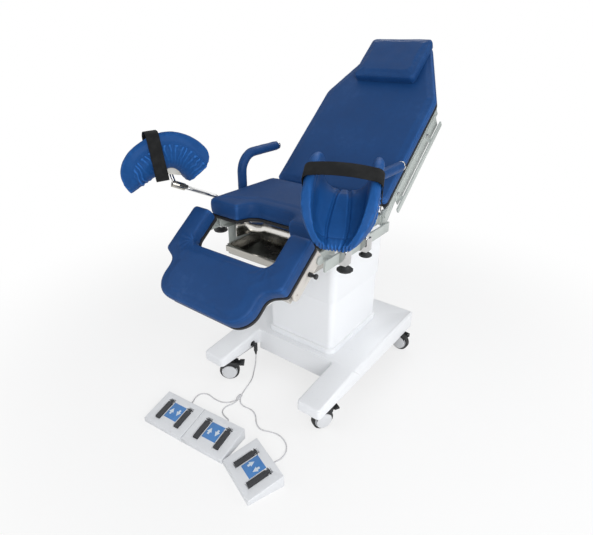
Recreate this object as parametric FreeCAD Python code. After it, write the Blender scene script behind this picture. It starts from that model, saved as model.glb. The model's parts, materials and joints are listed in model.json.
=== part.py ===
import FreeCAD, Part
import math
import os

os.makedirs("parts", exist_ok=True)
Vec = FreeCAD.Vector

# Driving dimensions in millimetres and degrees. The origin is on the floor under the lift column,
# +Y points to the head end, and left is -X as seen from the foot end.

# Clearances
pin_gap = 0.05
slide_gap = 0.3
soft_gap = 0.4

# Seat upholstery
half_width = 300.0
seat_top = 960.0
seat_front = -475.0
seat_back = -48.0
seat_thickness = 73.0
board_thickness = 12.0
board_inset = 3.0
cutout_half = 134.0
cutout_floor_half = 112.0
cutout_depth = 80.0
cutout_radius = 62.0

# Backrest
back_edge_y = -17.0
back_edge_drop = 16.0
back_angle = 40.6
back_thickness = 45.0
back_length = 914.0
shoulder_length = 580.0
crest_half = 146.0
back_hinge_y = 5.0
back_hinge_drop = 81.0
back_rail_drop = 105.0
back_rail_start = 30.0
back_rail_end = 540.0
shell_depth = 30.0
shell_length = 560.0

# Head pillow
pillow_half = 165.0
pillow_start = 650.0
pillow_length = 255.0
pillow_thickness = 50.0

# Leg section
leg_edge_y = -553.0
leg_edge_drop = 6.5
leg_angle = 38.2
leg_thickness = 60.0
leg_length = 390.0
leg_opening_half = 203.0
leg_opening_length = 158.0
leg_arm_length = 216.0
leg_plate_half = 231.0
leg_plate_start = 247.0
leg_plate_radius = 85.0
leg_hinge_y = -507.0
leg_hinge_drop = 109.0
leg_bar_height = 48.0
leg_bar_thickness = 6.0
leg_bar_length = 206.0

# Seat frame and accessory bars
tube_width = 30.0
tube_height = 40.0
tube_wall = 2.5
side_tube_outer = half_width - 18.0
lug_thickness = 8.0
rear_cross_set = 55.0
bar_thickness = 8.0
bar_height = 44.0
bar_inner = half_width + 12.0
bar_top_drop = 114.0
hinge_pin_radius = 7.0
cap_radius = 17.0
cap_thickness = 6.0

# Lift and tilt
lift_travel = 250.0
tilt_drop = 19.0
tilt_pin_radius = 8.0
tilt_boss_radius = 15.0
tilt_boss_half = 91.5
ear_thickness = 12.0
head_plate = 12.0
head_half = 130.0
head_front = -200.0
head_back = 105.0
skirt_height = 300.0
skirt_overlap = 37.0
cover_wall = 4.0
column_half_x = 188.0
column_half_y = 217.0
column_corner = 26.0
column_play = 4.0
plinth_height = 28.0
plinth_reach = 12.0
inner_tube_half = 60.0
lift_tube_wall = 5.0
tube_overlap = 105.0
screw_radius = 12.0
tilt_rod_y = -160.0
tilt_rod_radius = 9.0
tilt_body_radius = 22.0
tilt_body_length = 225.0

# Back actuator
lever_x = 164.0
lever_radius = 57.0
lever_lead = 7.0
back_rod_x = 182.0
back_rod_radius = 8.0
back_body_radius = 18.0
back_body_front = -310.0
back_body_length = 200.0

# Base
base_half = 347.0
prong_inner = base_half - 121.0
base_front = -543.0
base_back = 388.0
crossbar_front = -261.0
base_top = 202.0
prong_tip_top = 172.0
apron_bottom = 82.0
cover_corner = 18.0
beam_width = 50.0
beam_height = 36.0
beam_center = base_half - 60.0

# Castors
wheel_diameter = 100.0
wheel_width = 28.0
hub_radius = 41.0
axle_radius = 5.0
castor_head = 27.0
castor_trail = 38.0
castor_front_y = -487.0
castor_back_y = 300.0
stem_radius = 6.0
fork_plate = 4.0
brake_pin_radius = 3.0

# Drain tray and basin skirt
tray_half = 205.0
tray_front = -466.0
tray_length = 205.0
tray_depth = 42.0
tray_top_drop = 196.0
tray_wall = 1.5
skirt_band_height = 58.0
skirt_band_wall = 2.0

# Clamps, knobs and armrests
clamp_half = 20.0
socket_x = half_width + 35.0
post_radius = 9.0
screw_small_radius = 4.0
support_clamp_y = -380.0
armrest_clamp_y = -221.0
support_knob_radius = 32.0
armrest_knob_radius = 27.0
armrest_tube_radius = 11.0
armrest_pad_radius = 21.5
armrest_bend = 85.0
armrest_rise = 130.0
armrest_end_y = 45.0

# Leg supports
pad_heading = 23.5
pad_dip = 38.0
pad_roll = -3.0
pad_bend = Vec(half_width + 106.5, -539.5, 1068.5)
pad_joint = Vec(half_width + 93.7, -497.5, 972.9)
left_pad_heading = 24.0
left_pad_dip = 29.1
left_pad_roll = -14.5
left_pad_bend = Vec(half_width + 125.7, -556.0, 1042.5)
left_pad_joint = Vec(half_width + 108.5, -527.1, 1003.2)
pad_near = 168.0
pad_far = 62.0
pad_turn = 80.0
pad_underside = 40.0
pad_wing = 140.0
pad_half = 110.0
pad_floor_half = 36.0
pad_padding = 30.0
pad_tip_radius = 62.0
pad_taper = 150.0
pad_taper_drop = 100.0
pole_bend_rise = 118.0
pole_bend = 34.0
sleeve_radius = 15.0
strap_width = 50.0
strap_thickness = 2.5

# Foot control
pedal_case_width = 224.0
pedal_case_depth = 160.0
pedal_case_back = 58.0
pedal_case_front = 24.0
pedal_width = 25.0
pedal_spread = 56.0
pedal_start = 30.0
pedal_length = 102.0
pedal_rise = 5.0
pedal_pin_radius = 2.0
cable_diameter = 6.5
plug_y = -320.0
plug_z = 141.0

# Heights worked out from the driving dimensions
board_bottom = seat_top - seat_thickness - board_thickness
frame_bottom = board_bottom - tube_height
tilt_z = frame_bottom - tilt_drop
head_top = tilt_z - tilt_drop
skirt_top = head_top - head_plate
skirt_bottom = skirt_top - skirt_height
column_top = skirt_bottom + skirt_overlap
outer_tube_top = column_top - 22.0
inner_tube_bottom = outer_tube_top - tube_overlap
beam_bottom = wheel_diameter + castor_head
beam_top = beam_bottom + beam_height
deck_top = beam_bottom
deck_thickness = 8.0
bar_top = seat_top - bar_top_drop
bar_bottom = bar_top - bar_height
back_hinge_z = seat_top - back_hinge_drop
leg_hinge_z = seat_top - leg_hinge_drop


def box(x0, x1, y0, y1, z0, z1):
    return Part.makeBox(x1 - x0, y1 - y0, z1 - z0, Vec(x0, y0, z0))


def rod(start, end, radius):
    axis = end - start
    return Part.makeCylinder(radius, axis.Length, start, axis)


def along_x(x0, x1, y, z, radius):
    return rod(Vec(x0, y, z), Vec(x1, y, z), radius)


def upright(x, y, z0, z1, radius):
    return rod(Vec(x, y, z0), Vec(x, y, z1), radius)


def join(*shapes):
    whole = shapes[0]
    for shape in shapes[1:]:
        whole = whole.fuse(shape)
    return whole.removeSplitter()


def mirrored(shape):
    return shape.mirror(Vec(0, 0, 0), Vec(1, 0, 0))


def both_sides(shape):
    return [mirrored(shape), shape]


def placed(shape, origin, axis, angle):
    copy = shape.copy()
    copy.Placement = FreeCAD.Placement(origin, FreeCAD.Rotation(axis, angle)).multiply(copy.Placement)
    return copy


def save(node, *solids):
    shape = solids[0] if len(solids) == 1 else Part.makeCompound(list(solids))
    shape.exportStep("parts/" + node + ".step")


def hollow_tube(x0, x1, y0, y1, z0, z1, axis):
    """Rectangular steel tube, open along its axis."""
    wall = Vec(tube_wall, tube_wall, tube_wall)
    wall[axis] = 0.0
    inside = box(x0 + wall.x, x1 - wall.x, y0 + wall.y, y1 - wall.y, z0 + wall.z, z1 - wall.z)
    return box(x0, x1, y0, y1, z0, z1).cut(inside)


def outline(points, radii, inset, z):
    """Closed wire through rounded corners, moved inwards by the inset."""
    count = len(points)
    corners = [Vec(x, y, 0) for x, y in points]
    sides = []
    for i in range(count):
        way = (corners[(i + 1) % count] - corners[i]).normalize()
        inward = Vec(-way.y, way.x, 0)
        sides.append((corners[i] + inward * inset, way, inward))
    ends = []
    for i in range(count):
        base, way, inward = sides[i - 1]
        next_base, next_way, _ = sides[i]
        turn = way.cross(next_way).z
        gap = next_base - base
        corner = base + way * (gap.cross(next_way).z / turn)
        bend = 1.0 if turn > 0 else -1.0
        radius = max(radii[i] - bend * inset, 0.5)
        half = math.atan2(abs(turn), way.dot(next_way)) / 2
        reach = radius * math.tan(half)
        start = corner - way * reach
        center = start + inward * (bend * radius)
        middle = center + (corner - center).normalize() * radius
        ends.append((start, middle, corner + next_way * reach))
    lift = Vec(0, 0, z)
    edges = []
    for i in range(count):
        start, middle, end = ends[i]
        edges.append(Part.Arc(start + lift, middle + lift, end + lift).toShape())
        edges.append(Part.LineSegment(end + lift, ends[(i + 1) % count][0] + lift).toShape())
    return Part.Wire(edges)


def slab(points, radii, inset, z0, z1):
    return Part.Face(outline(points, radii, inset, z0)).extrude(Vec(0, 0, z1 - z0))


# A sewn cushion's section: height as a share of its thickness, counted down from its crown, and how far
# its side is drawn in there.
cushion_section = [(-1.0, 7.0), (-0.86, 2.0), (-0.5, 0.0), (-0.26, 0.8), (-0.12, 5.0), (-0.05, 13.0), (0.0, 30.0)]


def cushion(points, radii, thickness):
    """Crowned cushion with its crown at height 0."""
    wires = [outline(points, radii, inset, share * thickness) for share, inset in cushion_section]
    return Part.makeLoft(wires, True, True)


def rounded_path(points, bend):
    """Straight runs joined by tangent arcs, as a wire. With no bend each arc is as large as its runs allow."""
    starts = [points[0]]
    edges = []
    radii = []
    for before, corner, after in zip(points, points[1:], points[2:]):
        way = (corner - before).normalize()
        next_way = (after - corner).normalize()
        half = way.getAngle(next_way) / 2
        shorter = min((corner - before).Length, (after - corner).Length)
        radius = 0.45 * shorter / math.tan(half) if bend is None else bend
        reach = radius * math.tan(half)
        start = corner - way * reach
        end = corner + next_way * reach
        to_center = (next_way - way).normalize()
        center = corner + to_center * (radius / math.cos(half))
        middle = center - to_center * radius
        edges.append(Part.LineSegment(starts[-1], start).toShape())
        edges.append(Part.Arc(start, middle, end).toShape())
        starts.append(end)
        radii.append(radius)
    edges.append(Part.LineSegment(starts[-1], points[-1]).toShape())
    return Part.Wire(edges), radii


def bent_rod(points, bend, radius):
    """Round bar or cable along a rounded path."""
    path, radii = rounded_path(points, bend)
    ring = Part.Wire(Part.makeCircle(radius, points[0], points[1] - points[0]))
    return path.makePipeShell([ring], True, False), path, radii


def knob(x, y, top, screw_top, radius):
    """Star knob under a clamp: a lobed disc under a bell, with its screw running up into the block."""
    edge = 0.1 * radius
    rim = 0.17 * radius
    bell = 0.5 * radius
    low = top - bell - rim - 2 * edge
    disc = Part.makeCone(0.84 * radius, radius, edge, Vec(x, y, low))
    disc = disc.fuse(upright(x, y, low + edge, low + edge + rim, radius))
    disc = disc.fuse(Part.makeCone(radius, 0.78 * radius, edge, Vec(x, y, low + edge + rim)))
    for i in range(6):
        angle = math.radians(60 * i)
        notch = radius * 1.14
        cx = x + notch * math.cos(angle)
        cy = y + notch * math.sin(angle)
        disc = disc.cut(upright(cx, cy, low, top - bell, 0.26 * radius))
    neck = Part.makeCone(0.74 * radius, 0.26 * radius, bell, Vec(x, y, top - bell))
    screw = upright(x, y, top - bell, screw_top, screw_small_radius)
    return join(disc, neck, screw)


# Base frame: two long beams, cross beams and a deck plate that carries the column
def base_frame():
    inner = beam_center - beam_width / 2
    outer = beam_center + beam_width / 2
    front = base_front + 3 * cover_wall
    back = base_back - 3 * cover_wall
    beam = hollow_tube(inner, outer, front, back, beam_bottom, beam_top, 1)
    for y in (castor_front_y, castor_back_y):
        boss = upright(beam_center, y, beam_bottom, beam_top, 3 * stem_radius)
        beam = beam.fuse(boss).cut(upright(beam_center, y, beam_bottom, beam_top, stem_radius + pin_gap))
    pieces = both_sides(beam)
    for y in (-column_half_y + 30, column_half_y - 60):
        pieces.append(hollow_tube(-inner, inner, y, y + tube_width, beam_bottom, beam_top, 0))
    pieces.append(box(-150, 150, -column_half_y, 350, deck_top - deck_thickness, deck_top))
    return join(*pieces)


def base_body(inset, bottom_drop):
    """Base form in side view, with the gap between its two front prongs."""
    front = base_front + inset
    back = base_back - inset
    top = base_top - inset
    profile = [
        Vec(-base_half + inset, front, beam_bottom - bottom_drop),
        Vec(-base_half + inset, front, prong_tip_top - inset),
        Vec(-base_half + inset, crossbar_front, top),
        Vec(-base_half + inset, back, top),
        Vec(-base_half + inset, back, wheel_diameter + 14 - bottom_drop),
    ]
    side = Part.Face(Part.makePolygon(profile + profile[:1]))
    body = side.extrude(Vec(2 * (base_half - inset), 0, 0))
    gap = prong_inner + inset
    slot = box(-gap, gap, base_front - 1, crossbar_front + inset, 0, base_top + 1)
    return body.cut(slot)


def base_cover():
    body = base_body(0, 0)
    corners = [edge for edge in body.Edges if edge.BoundBox.XLength < 1 and edge.BoundBox.YLength < 1]
    body = body.makeFillet(cover_corner, corners)
    body = body.cut(base_body(cover_wall, 1))
    window = box(-170, 170, -column_half_y + 17, column_half_y - 17, 0, base_top + 1)
    apron = box(-prong_inner, prong_inner, crossbar_front, crossbar_front + cover_wall,
                apron_bottom, base_top - 3 * cover_wall)
    pieces = [body.cut(window), apron]
    for y in (-100, 330):
        for side in (-1, 1):
            pieces.append(upright(side * beam_center, y, beam_top, base_top - cover_wall / 2, 8))
    cover = join(*pieces)
    return cover.cut(along_x(-prong_inner - 2 * cover_wall, -prong_inner + 1, plug_y, plug_z, 12))


def column_cover():
    def form(grow, z0, z1):
        x = column_half_x + grow
        y = column_half_y + grow
        return slab([(-x, -y), (x, -y), (x, y), (-x, y)], [column_corner + grow] * 4, 0, z0, z1)

    shell = form(0, base_top, column_top).cut(form(-cover_wall, base_top, column_top))
    plinth = form(plinth_reach, base_top, base_top + plinth_height)
    return join(shell, plinth.cut(form(-cover_wall, base_top, column_top)))


def upper_column_cover():
    def form(grow, z0, z1):
        x = column_half_x + column_play + grow
        y = column_half_y + column_play + grow
        return slab([(-x, -y), (x, -y), (x, y), (-x, y)], [column_corner + column_play + grow] * 4, 0, z0, z1)

    skirt = form(cover_wall, skirt_bottom, skirt_top).cut(form(0, skirt_bottom, skirt_top - cover_wall))
    margin = 12.0
    opening = box(-head_half + margin, head_half - margin, head_front + margin, head_back - margin,
                  skirt_bottom, skirt_top + 1)
    return skirt.cut(opening)


def lift_outer_tube():
    inside = inner_tube_half + slide_gap
    outside = inside + lift_tube_wall
    tube = box(-outside, outside, -outside, outside, deck_top, outer_tube_top)
    tube = tube.cut(box(-inside, inside, -inside, inside, deck_top, outer_tube_top))
    screw = upright(0, 0, deck_top, outer_tube_top - 20, screw_radius)
    motor = box(outside, outside + 75, -50, 50, deck_top, deck_top + 170)
    return [tube, screw, motor]


def lift_inner_tube():
    half = inner_tube_half
    inside = half - lift_tube_wall
    tube = box(-half, half, -half, half, inner_tube_bottom, skirt_top)
    tube = tube.cut(box(-inside, inside, -inside, inside, inner_tube_bottom + 20, skirt_top))
    tube = tube.cut(upright(0, 0, inner_tube_bottom, skirt_top, screw_radius + pin_gap))
    plate = box(-head_half, head_half, head_front, head_back, skirt_top, head_top)
    plate = plate.cut(upright(0, tilt_rod_y, skirt_top, head_top, tilt_rod_radius + 6))
    pieces = [tube, plate]
    inner = tilt_boss_half + 0.5
    ear = box(inner, inner + ear_thickness, -tilt_boss_radius + 1, tilt_boss_radius - 1, skirt_top, tilt_z)
    ear = ear.fuse(along_x(inner, inner + ear_thickness, 0, tilt_z, tilt_boss_radius - 1))
    pieces += both_sides(ear)
    pieces.append(along_x(-inner - ear_thickness, inner + ear_thickness, 0, tilt_z, tilt_pin_radius))
    return join(*pieces)


def tilt_actuator_body():
    bottom = skirt_top - tilt_body_length
    body = upright(0, tilt_rod_y, bottom, skirt_top, tilt_body_radius)
    motor = box(-tilt_body_radius, tilt_body_radius, tilt_rod_y - 32, tilt_rod_y, bottom, bottom + 90)
    bore = upright(0, tilt_rod_y, bottom + 15, skirt_top, tilt_rod_radius + pin_gap)
    recess = upright(0, tilt_rod_y, skirt_top - 10, skirt_top, tilt_rod_radius + 6)
    return join(body, motor).cut(bore).cut(recess)


# The rod's fork carries a pin that runs in the seat frame's slotted lug.
tilt_slot_half = 9.0
tilt_pin = 5.0
lug_half = 5.0


def tilt_actuator_rod():
    pin_z = tilt_z - 1
    shaft = upright(0, tilt_rod_y, skirt_top - tilt_body_length + 90, pin_z - 20, tilt_rod_radius)
    fork = upright(0, tilt_rod_y, pin_z - 20, pin_z + 8, 14)
    gap = lug_half + 1
    fork = fork.cut(box(-gap, gap, tilt_rod_y - 20, tilt_rod_y + 20, pin_z - 12, pin_z + 9))
    return join(shaft, fork, along_x(-10, 10, tilt_rod_y, pin_z, tilt_pin))


def hinge_pin(y, z):
    """Pin from the seat frame's lug out through the swinging plate, with a round cap."""
    start = side_tube_outer + 1
    end = half_width + slide_gap
    cap = along_x(end, end + cap_thickness, y, z, cap_radius)
    return join(along_x(start, end + 1, y, z, hinge_pin_radius), cap)


def seat_frame():
    inner = side_tube_outer - tube_width
    lug_in = side_tube_outer
    lug_out = lug_in + lug_thickness
    side = hollow_tube(inner, side_tube_outer, seat_front + 15, back_hinge_y + 15, frame_bottom, board_bottom, 1)
    back_lug = box(lug_in, lug_out, back_hinge_y - 30, back_hinge_y + 17, frame_bottom, back_hinge_z)
    back_lug = back_lug.fuse(along_x(lug_in, lug_out, back_hinge_y, back_hinge_z, 17))
    leg_lug = box(lug_in, lug_out, leg_hinge_y, seat_front + 45, leg_hinge_z - 18, leg_hinge_z + 18)
    leg_lug = leg_lug.fuse(along_x(lug_in, lug_out, leg_hinge_y, leg_hinge_z, 18))
    bar = box(bar_inner, bar_inner + bar_thickness, leg_hinge_y + 12, back_hinge_y + 5, bar_bottom, bar_top)
    side = side.fuse(back_lug).fuse(leg_lug).fuse(bar)
    side = side.fuse(hinge_pin(back_hinge_y, back_hinge_z)).fuse(hinge_pin(leg_hinge_y, leg_hinge_z))
    for y in (-450, -300, -150):
        side = side.fuse(box(side_tube_outer - 1, bar_inner, y - 12, y + 12, bar_top - 10, bar_top))
    pieces = both_sides(side)
    front_cross = crossbeam_y()
    pieces.append(hollow_tube(-inner, inner, front_cross, front_cross + tube_width, frame_bottom, board_bottom, 0))
    rear_cross = -rear_cross_set - tube_width
    pieces.append(hollow_tube(-inner, inner, rear_cross, -rear_cross_set, frame_bottom, board_bottom, 0))
    spine = hollow_tube(-15, 15, front_cross + tube_width, rear_cross, frame_bottom + 10, board_bottom, 1)
    pieces.append(spine)
    lug = box(-lug_half, lug_half, tilt_rod_y - 24, tilt_rod_y + 24, tilt_z - 10, frame_bottom + 12)
    pin_z = tilt_z - 1
    slot_room = tilt_pin + 1.2
    slot = box(-lug_half, lug_half, tilt_rod_y - tilt_slot_half, tilt_rod_y + tilt_slot_half,
               pin_z - slot_room, pin_z + slot_room)
    for y in (-tilt_slot_half, tilt_slot_half):
        slot = slot.fuse(along_x(-lug_half, lug_half, tilt_rod_y + y, pin_z, slot_room))
    pieces.append(lug.cut(slot))
    web = box(-tilt_boss_half, tilt_boss_half, rear_cross, 0, tilt_z, frame_bottom + 1)
    boss = web.fuse(along_x(-tilt_boss_half, tilt_boss_half, 0, tilt_z, tilt_boss_radius))
    pieces.append(boss.cut(along_x(-tilt_boss_half, tilt_boss_half, 0, tilt_z, tilt_pin_radius + pin_gap)))
    hanger = box(back_rod_x - 12, back_rod_x + 12, front_cross + tube_width - 1, back_body_front + 20,
                 actuator_z() - 8, frame_bottom + 15)
    pieces.append(hanger.cut(back_body_core(back_body_radius)))
    pieces += tray_runners()
    return join(*pieces)


def crossbeam_y():
    return seat_front + cutout_depth + 50


def actuator_z():
    return back_hinge_z - lever_radius


def back_body_core(radius):
    y = back_body_front
    return rod(Vec(back_rod_x, y, actuator_z()), Vec(back_rod_x, y + back_body_length, actuator_z()), radius)


def back_actuator_body():
    bore = rod(Vec(back_rod_x, back_body_front + 15, actuator_z()),
               Vec(back_rod_x, back_body_front + back_body_length, actuator_z()), back_rod_radius + pin_gap)
    return back_body_core(back_body_radius).cut(bore)


def lever_pin_y():
    return back_hinge_y + lever_radius * math.tan(math.radians(lever_lead))


def back_actuator_rod():
    z = actuator_z()
    start = back_body_front + back_body_length - 110
    shaft = rod(Vec(back_rod_x, start, z), Vec(back_rod_x, lever_pin_y() + 9, z), back_rod_radius)
    pin = along_x(lever_x - 8, back_rod_x, lever_pin_y(), z, 5)
    return join(shaft, pin)


# Drain tray: it hangs by its rims on two folded runners under the seat frame.
tray_rim = 8.0
runner_gap = 0.3


def tray_runners():
    top = seat_top - tray_top_drop
    back = tray_front + tray_length
    x0 = tray_half + slide_gap
    x1 = tray_half + tray_rim + 4
    web = box(x1, x1 + 2, tray_front + 20, back - 10, top - 8, frame_bottom)
    rest = top - tray_wall - runner_gap
    shelf = box(x0 + 2, x1, tray_front + 20, back - 10, rest - 2, rest)
    flange = box(x1, side_tube_outer - tube_width + 5, tray_front + 20, back - 10, frame_bottom - 3, frame_bottom)
    return both_sides(web.fuse(shelf).fuse(flange))


def drain_tray():
    top = seat_top - tray_top_drop
    back = tray_front + tray_length
    tray = box(-tray_half, tray_half, tray_front, back, top - tray_depth, top)
    wall = tray_wall
    inside = tray_half - wall
    tray = tray.cut(box(-inside, inside, tray_front + wall, back - wall, top - tray_depth + wall, top))
    rim = box(tray_half - wall, tray_half + tray_rim, tray_front + 2, back, top - wall, top)
    lip = box(-tray_half, tray_half, tray_front - 14, tray_front + wall, top - wall, top)
    turn = box(-tray_half, tray_half, tray_front - 14, tray_front - 14 + wall, top - 26, top)
    return join(tray, lip, turn, *both_sides(rim))


# Basin skirt: a polished band that lines the cut-out under the seat board
def cutout_points():
    return [(-cutout_half, seat_front), (-cutout_floor_half, seat_front + cutout_depth),
            (cutout_floor_half, seat_front + cutout_depth), (cutout_half, seat_front)]


def basin_skirt():
    margin = 14.0
    points = [(x + math.copysign(margin, x), y + (margin if y > seat_front else 0)) for x, y in cutout_points()]
    radii = [1, cutout_radius + margin, cutout_radius + margin, 1]
    ring = list(reversed(points))
    turned = list(reversed(radii))
    bottom = board_bottom - skirt_band_height
    outer = slab(ring, turned, 0, bottom, board_bottom)
    inner = slab(ring, turned, skirt_band_wall, bottom, board_bottom)
    band_back = seat_front + 2 * skirt_band_wall
    cut_front = box(-half_width, half_width, seat_front - 1, band_back, bottom, board_bottom)
    return outer.cut(inner).cut(cut_front)


def seat_outline():
    left = [(-half_width, seat_front)]
    right = [(half_width, seat_front), (half_width, seat_back), (-half_width, seat_back)]
    return left + cutout_points() + right, [25, 8, cutout_radius, cutout_radius, 8, 25, 20, 20]


def seat_cushion():
    points, radii = seat_outline()
    pad = cushion(points, radii, seat_thickness).translate(Vec(0, 0, seat_top))
    board = slab(points, radii, board_inset, board_bottom, board_bottom + board_thickness)
    return [pad, board]


def on_back(shape):
    """Backrest pieces are drawn flat: X across, Y up the backrest, and 0 at the cushion's crown."""
    return placed(shape, Vec(0, back_edge_y, seat_top - back_edge_drop), Vec(1, 0, 0), back_angle)


def back_outline():
    w = half_width
    points = [(-w, 0), (w, 0), (w, shoulder_length), (crest_half, back_length), (-crest_half, back_length),
              (-w, shoulder_length)]
    return points, [20, 20, 70, 40, 40, 70]


def back_cushion():
    points, radii = back_outline()
    pad = cushion(points, radii, back_thickness)
    low = -back_thickness - board_thickness
    board = slab(points, radii, board_inset, low, -back_thickness)
    return [on_back(pad), on_back(board)]


def hinge_on_back():
    """The backrest hinge in the backrest's own flat drawing."""
    angle = math.radians(back_angle)
    dy = back_hinge_y - back_edge_y
    dz = back_edge_drop - back_hinge_drop
    return dy * math.cos(angle) + dz * math.sin(angle), dz * math.cos(angle) - dy * math.sin(angle)


back_rail_width = 28.0
back_rail_height = 36.0
hinge_plate_reach = 70.0


def back_frame():
    top = -back_thickness - board_thickness
    low = top - back_rail_height
    outer = half_width - 4
    inner = outer - back_rail_width
    rail = hollow_tube(inner, outer, 10, shoulder_length + 60, low, top, 1)
    rail = rail.cut(box(inner - 1, outer + 1, shoulder_length - 8, shoulder_length + 61, low - 1, top + 1))
    u, n = hinge_on_back()
    plate_in = side_tube_outer + lug_thickness + slide_gap
    plate = Part.Face(Part.makePolygon([Vec(plate_in, *p) for p in (
        (hinge_plate_reach, top), (u - 14, top), (u - 76, n - 44), (u - 66, n - 62), (u + 5, n - 46),
        (hinge_plate_reach, low), (hinge_plate_reach, top))]))
    plate = plate.extrude(Vec(half_width - plate_in, 0, 0))
    plate = plate.fuse(along_x(plate_in, half_width, u, n, 22))
    plate = plate.cut(along_x(plate_in, half_width, u, n, hinge_pin_radius + pin_gap))
    pieces = both_sides(rail.fuse(plate))
    for y in (30, 260, shoulder_length - 50):
        pieces.append(hollow_tube(-inner, inner, y, y + tube_width, low, top, 0))
    frame = join(*[on_back(piece) for piece in pieces])
    return [join(frame, back_lever())]


def back_lever():
    """Slotted lever that the back actuator pushes, hung from the lowest cross tube."""
    angle = math.radians(lever_lead)
    tip = lever_radius + 26
    way = Vec(0, math.sin(angle), -math.cos(angle))
    across = Vec(0, math.cos(angle), math.sin(angle))
    hinge = Vec(lever_x - 4, back_hinge_y, back_hinge_z)
    outline_pairs = ((-30, 50), (-8, 12), (20, -15), (tip, -15), (tip, 15), (25, 15), (-6, 70))
    corners = [hinge + way * a + across * b for a, b in outline_pairs]
    plate = Part.Face(Part.makePolygon(corners + corners[:1])).extrude(Vec(8, 0, 0))
    slot_half = 7.6
    slot_top = lever_radius - 8
    slot_end = tip - 6
    slot_pairs = ((slot_top, -slot_half), (slot_end, -slot_half), (slot_end, slot_half), (slot_top, slot_half))
    slot = [hinge + way * a + across * b for a, b in slot_pairs]
    return plate.cut(Part.Face(Part.makePolygon(slot + slot[:1])).extrude(Vec(8, 0, 0)))


def back_shell():
    """Moulded rear cover between the side rails, with a rounded rim."""
    low = -back_thickness - board_thickness - back_rail_height
    half = half_width - 4 - back_rail_width - 2
    points = [(-half, 110), (half, 110), (half, 110 + shell_length - 170), (half - 60, 110 + shell_length - 120),
              (-half + 60, 110 + shell_length - 120), (-half, 110 + shell_length - 170)]
    sections = [(0, 0.0), (-0.5 * shell_depth, 4.0), (-0.85 * shell_depth, 14.0), (-shell_depth, 32.0)]
    outer = Part.makeLoft([outline(points, [30] * 6, inset, low + drop) for drop, inset in sections], True, True)
    thin = [(0, 3.0), (-0.5 * shell_depth, 7.0), (-0.85 * shell_depth + 3, 17.0), (-shell_depth + 3, 35.0)]
    inner = Part.makeLoft([outline(points, [30] * 6, inset, low + drop) for drop, inset in thin], True, True)
    return on_back(outer.cut(inner))


def back_rails():
    solids = []
    top = -back_rail_drop
    low = top - 25
    x0 = half_width + 16
    x1 = x0 + bar_thickness
    bar = box(x0, x1, back_rail_start, back_rail_end, low, top)
    for u in (94, 427):
        arm = box(half_width - 4, x0 + 1, u - 11, u + 11, top - 6, top)
        bar = bar.fuse(arm)
    plate_top = -back_thickness - board_thickness - 8
    plate_start = hinge_plate_reach + slide_gap
    plate = box(half_width - 4, half_width + 2, plate_start, back_rail_end, low, plate_top)
    bar = bar.fuse(plate)
    for piece in both_sides(bar.removeSplitter()):
        solids.append(on_back(piece))
    return solids


def head_pillow():
    w = pillow_half
    points = [(-w, 0), (w, 0), (w, pillow_length), (-w, pillow_length)]
    pad = cushion(points, [22] * 4, pillow_thickness)
    return on_back(pad.translate(Vec(0, pillow_start, pillow_thickness + soft_gap)))


def on_leg(shape):
    """Leg pieces are drawn flat: Y runs up from the foot edge to 0 at the seat, and 0 is the crown."""
    return placed(shape, Vec(0, leg_edge_y, seat_top - leg_edge_drop), Vec(1, 0, 0), leg_angle)


def leg_outline():
    right = [(leg_plate_half, -leg_length), (leg_plate_half, -leg_plate_start), (half_width, -leg_arm_length),
             (half_width, 0), (leg_opening_half, 0), (leg_opening_half, -leg_opening_length)]
    radii = [leg_plate_radius, 40, 18, 15, 15, 42]
    left = [(-x, y) for x, y in reversed(right)]
    return right + left, radii + radii[::-1]


def leg_cushion():
    points, radii = leg_outline()
    pad = cushion(points, radii, leg_thickness)
    low = -leg_thickness - board_thickness
    board = slab(points, radii, board_inset, low, -leg_thickness)
    return [on_leg(pad), on_leg(board)]


def hinge_on_leg():
    angle = math.radians(leg_angle)
    dy = leg_hinge_y - leg_edge_y
    dz = leg_edge_drop - leg_hinge_drop
    return dy * math.cos(angle) + dz * math.sin(angle), dz * math.cos(angle) - dy * math.sin(angle)


leg_knob_place = 95.0
bar_outer = half_width


def leg_frame():
    top = -leg_thickness - board_thickness
    u, n = hinge_on_leg()
    x1 = half_width
    x0 = x1 - leg_bar_thickness
    end = leg_bar_height / 2
    bar = box(x0, x1, -leg_bar_length + end, -8, top - leg_bar_height, top)
    bar = bar.fuse(along_x(x0, x1, -leg_bar_length + end, top - end, end))
    bar = bar.fuse(along_x(x0, x1, u, n, 20))
    bar = bar.cut(along_x(x0, x1, u, n, hinge_pin_radius + pin_gap))
    bar = bar.cut(along_x(x0, x1, -leg_bar_length + end, top - end, 4))
    bar = bar.cut(along_x(x0, x1, -leg_knob_place, top - end, screw_small_radius + pin_gap))
    seat = box(leg_opening_half + 40, x0 + 1, -leg_opening_length + 10, -48, top - 4, top)
    pieces = both_sides(bar.fuse(seat))
    cross = -leg_opening_length - 32
    pieces.append(hollow_tube(-x0, x0, cross - tube_width, cross, top - 24, top, 0))
    for x in (-120, 90):
        pieces.append(hollow_tube(x, x + tube_width, -leg_length + 60, cross - tube_width, top - 24, top, 1))
    bumper = along_x(x0 - 22, x0, -leg_bar_length + end, top - end, 9)
    pieces += both_sides(bumper)
    return on_leg(join(*pieces))


def leg_knob():
    """Spring pull knob that locks the leg section's side bar, on the right."""
    top = -leg_thickness - board_thickness
    y = -leg_knob_place
    z = top - leg_bar_height / 2
    x = half_width + soft_gap
    pin = along_x(half_width - leg_bar_thickness - 2, x + 14, y, z, screw_small_radius)
    barrel = along_x(x, x + 12, y, z, 9)
    grip = along_x(x + 12, x + 26, y, z, 6)
    button = along_x(x + 26, x + 34, y, z, 10)
    return on_leg(join(pin, barrel, grip, button))


# Clamps hook over the accessory bar and hold a post in a socket above a clamp screw.
socket_floor = bar_bottom + 10.0


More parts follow.
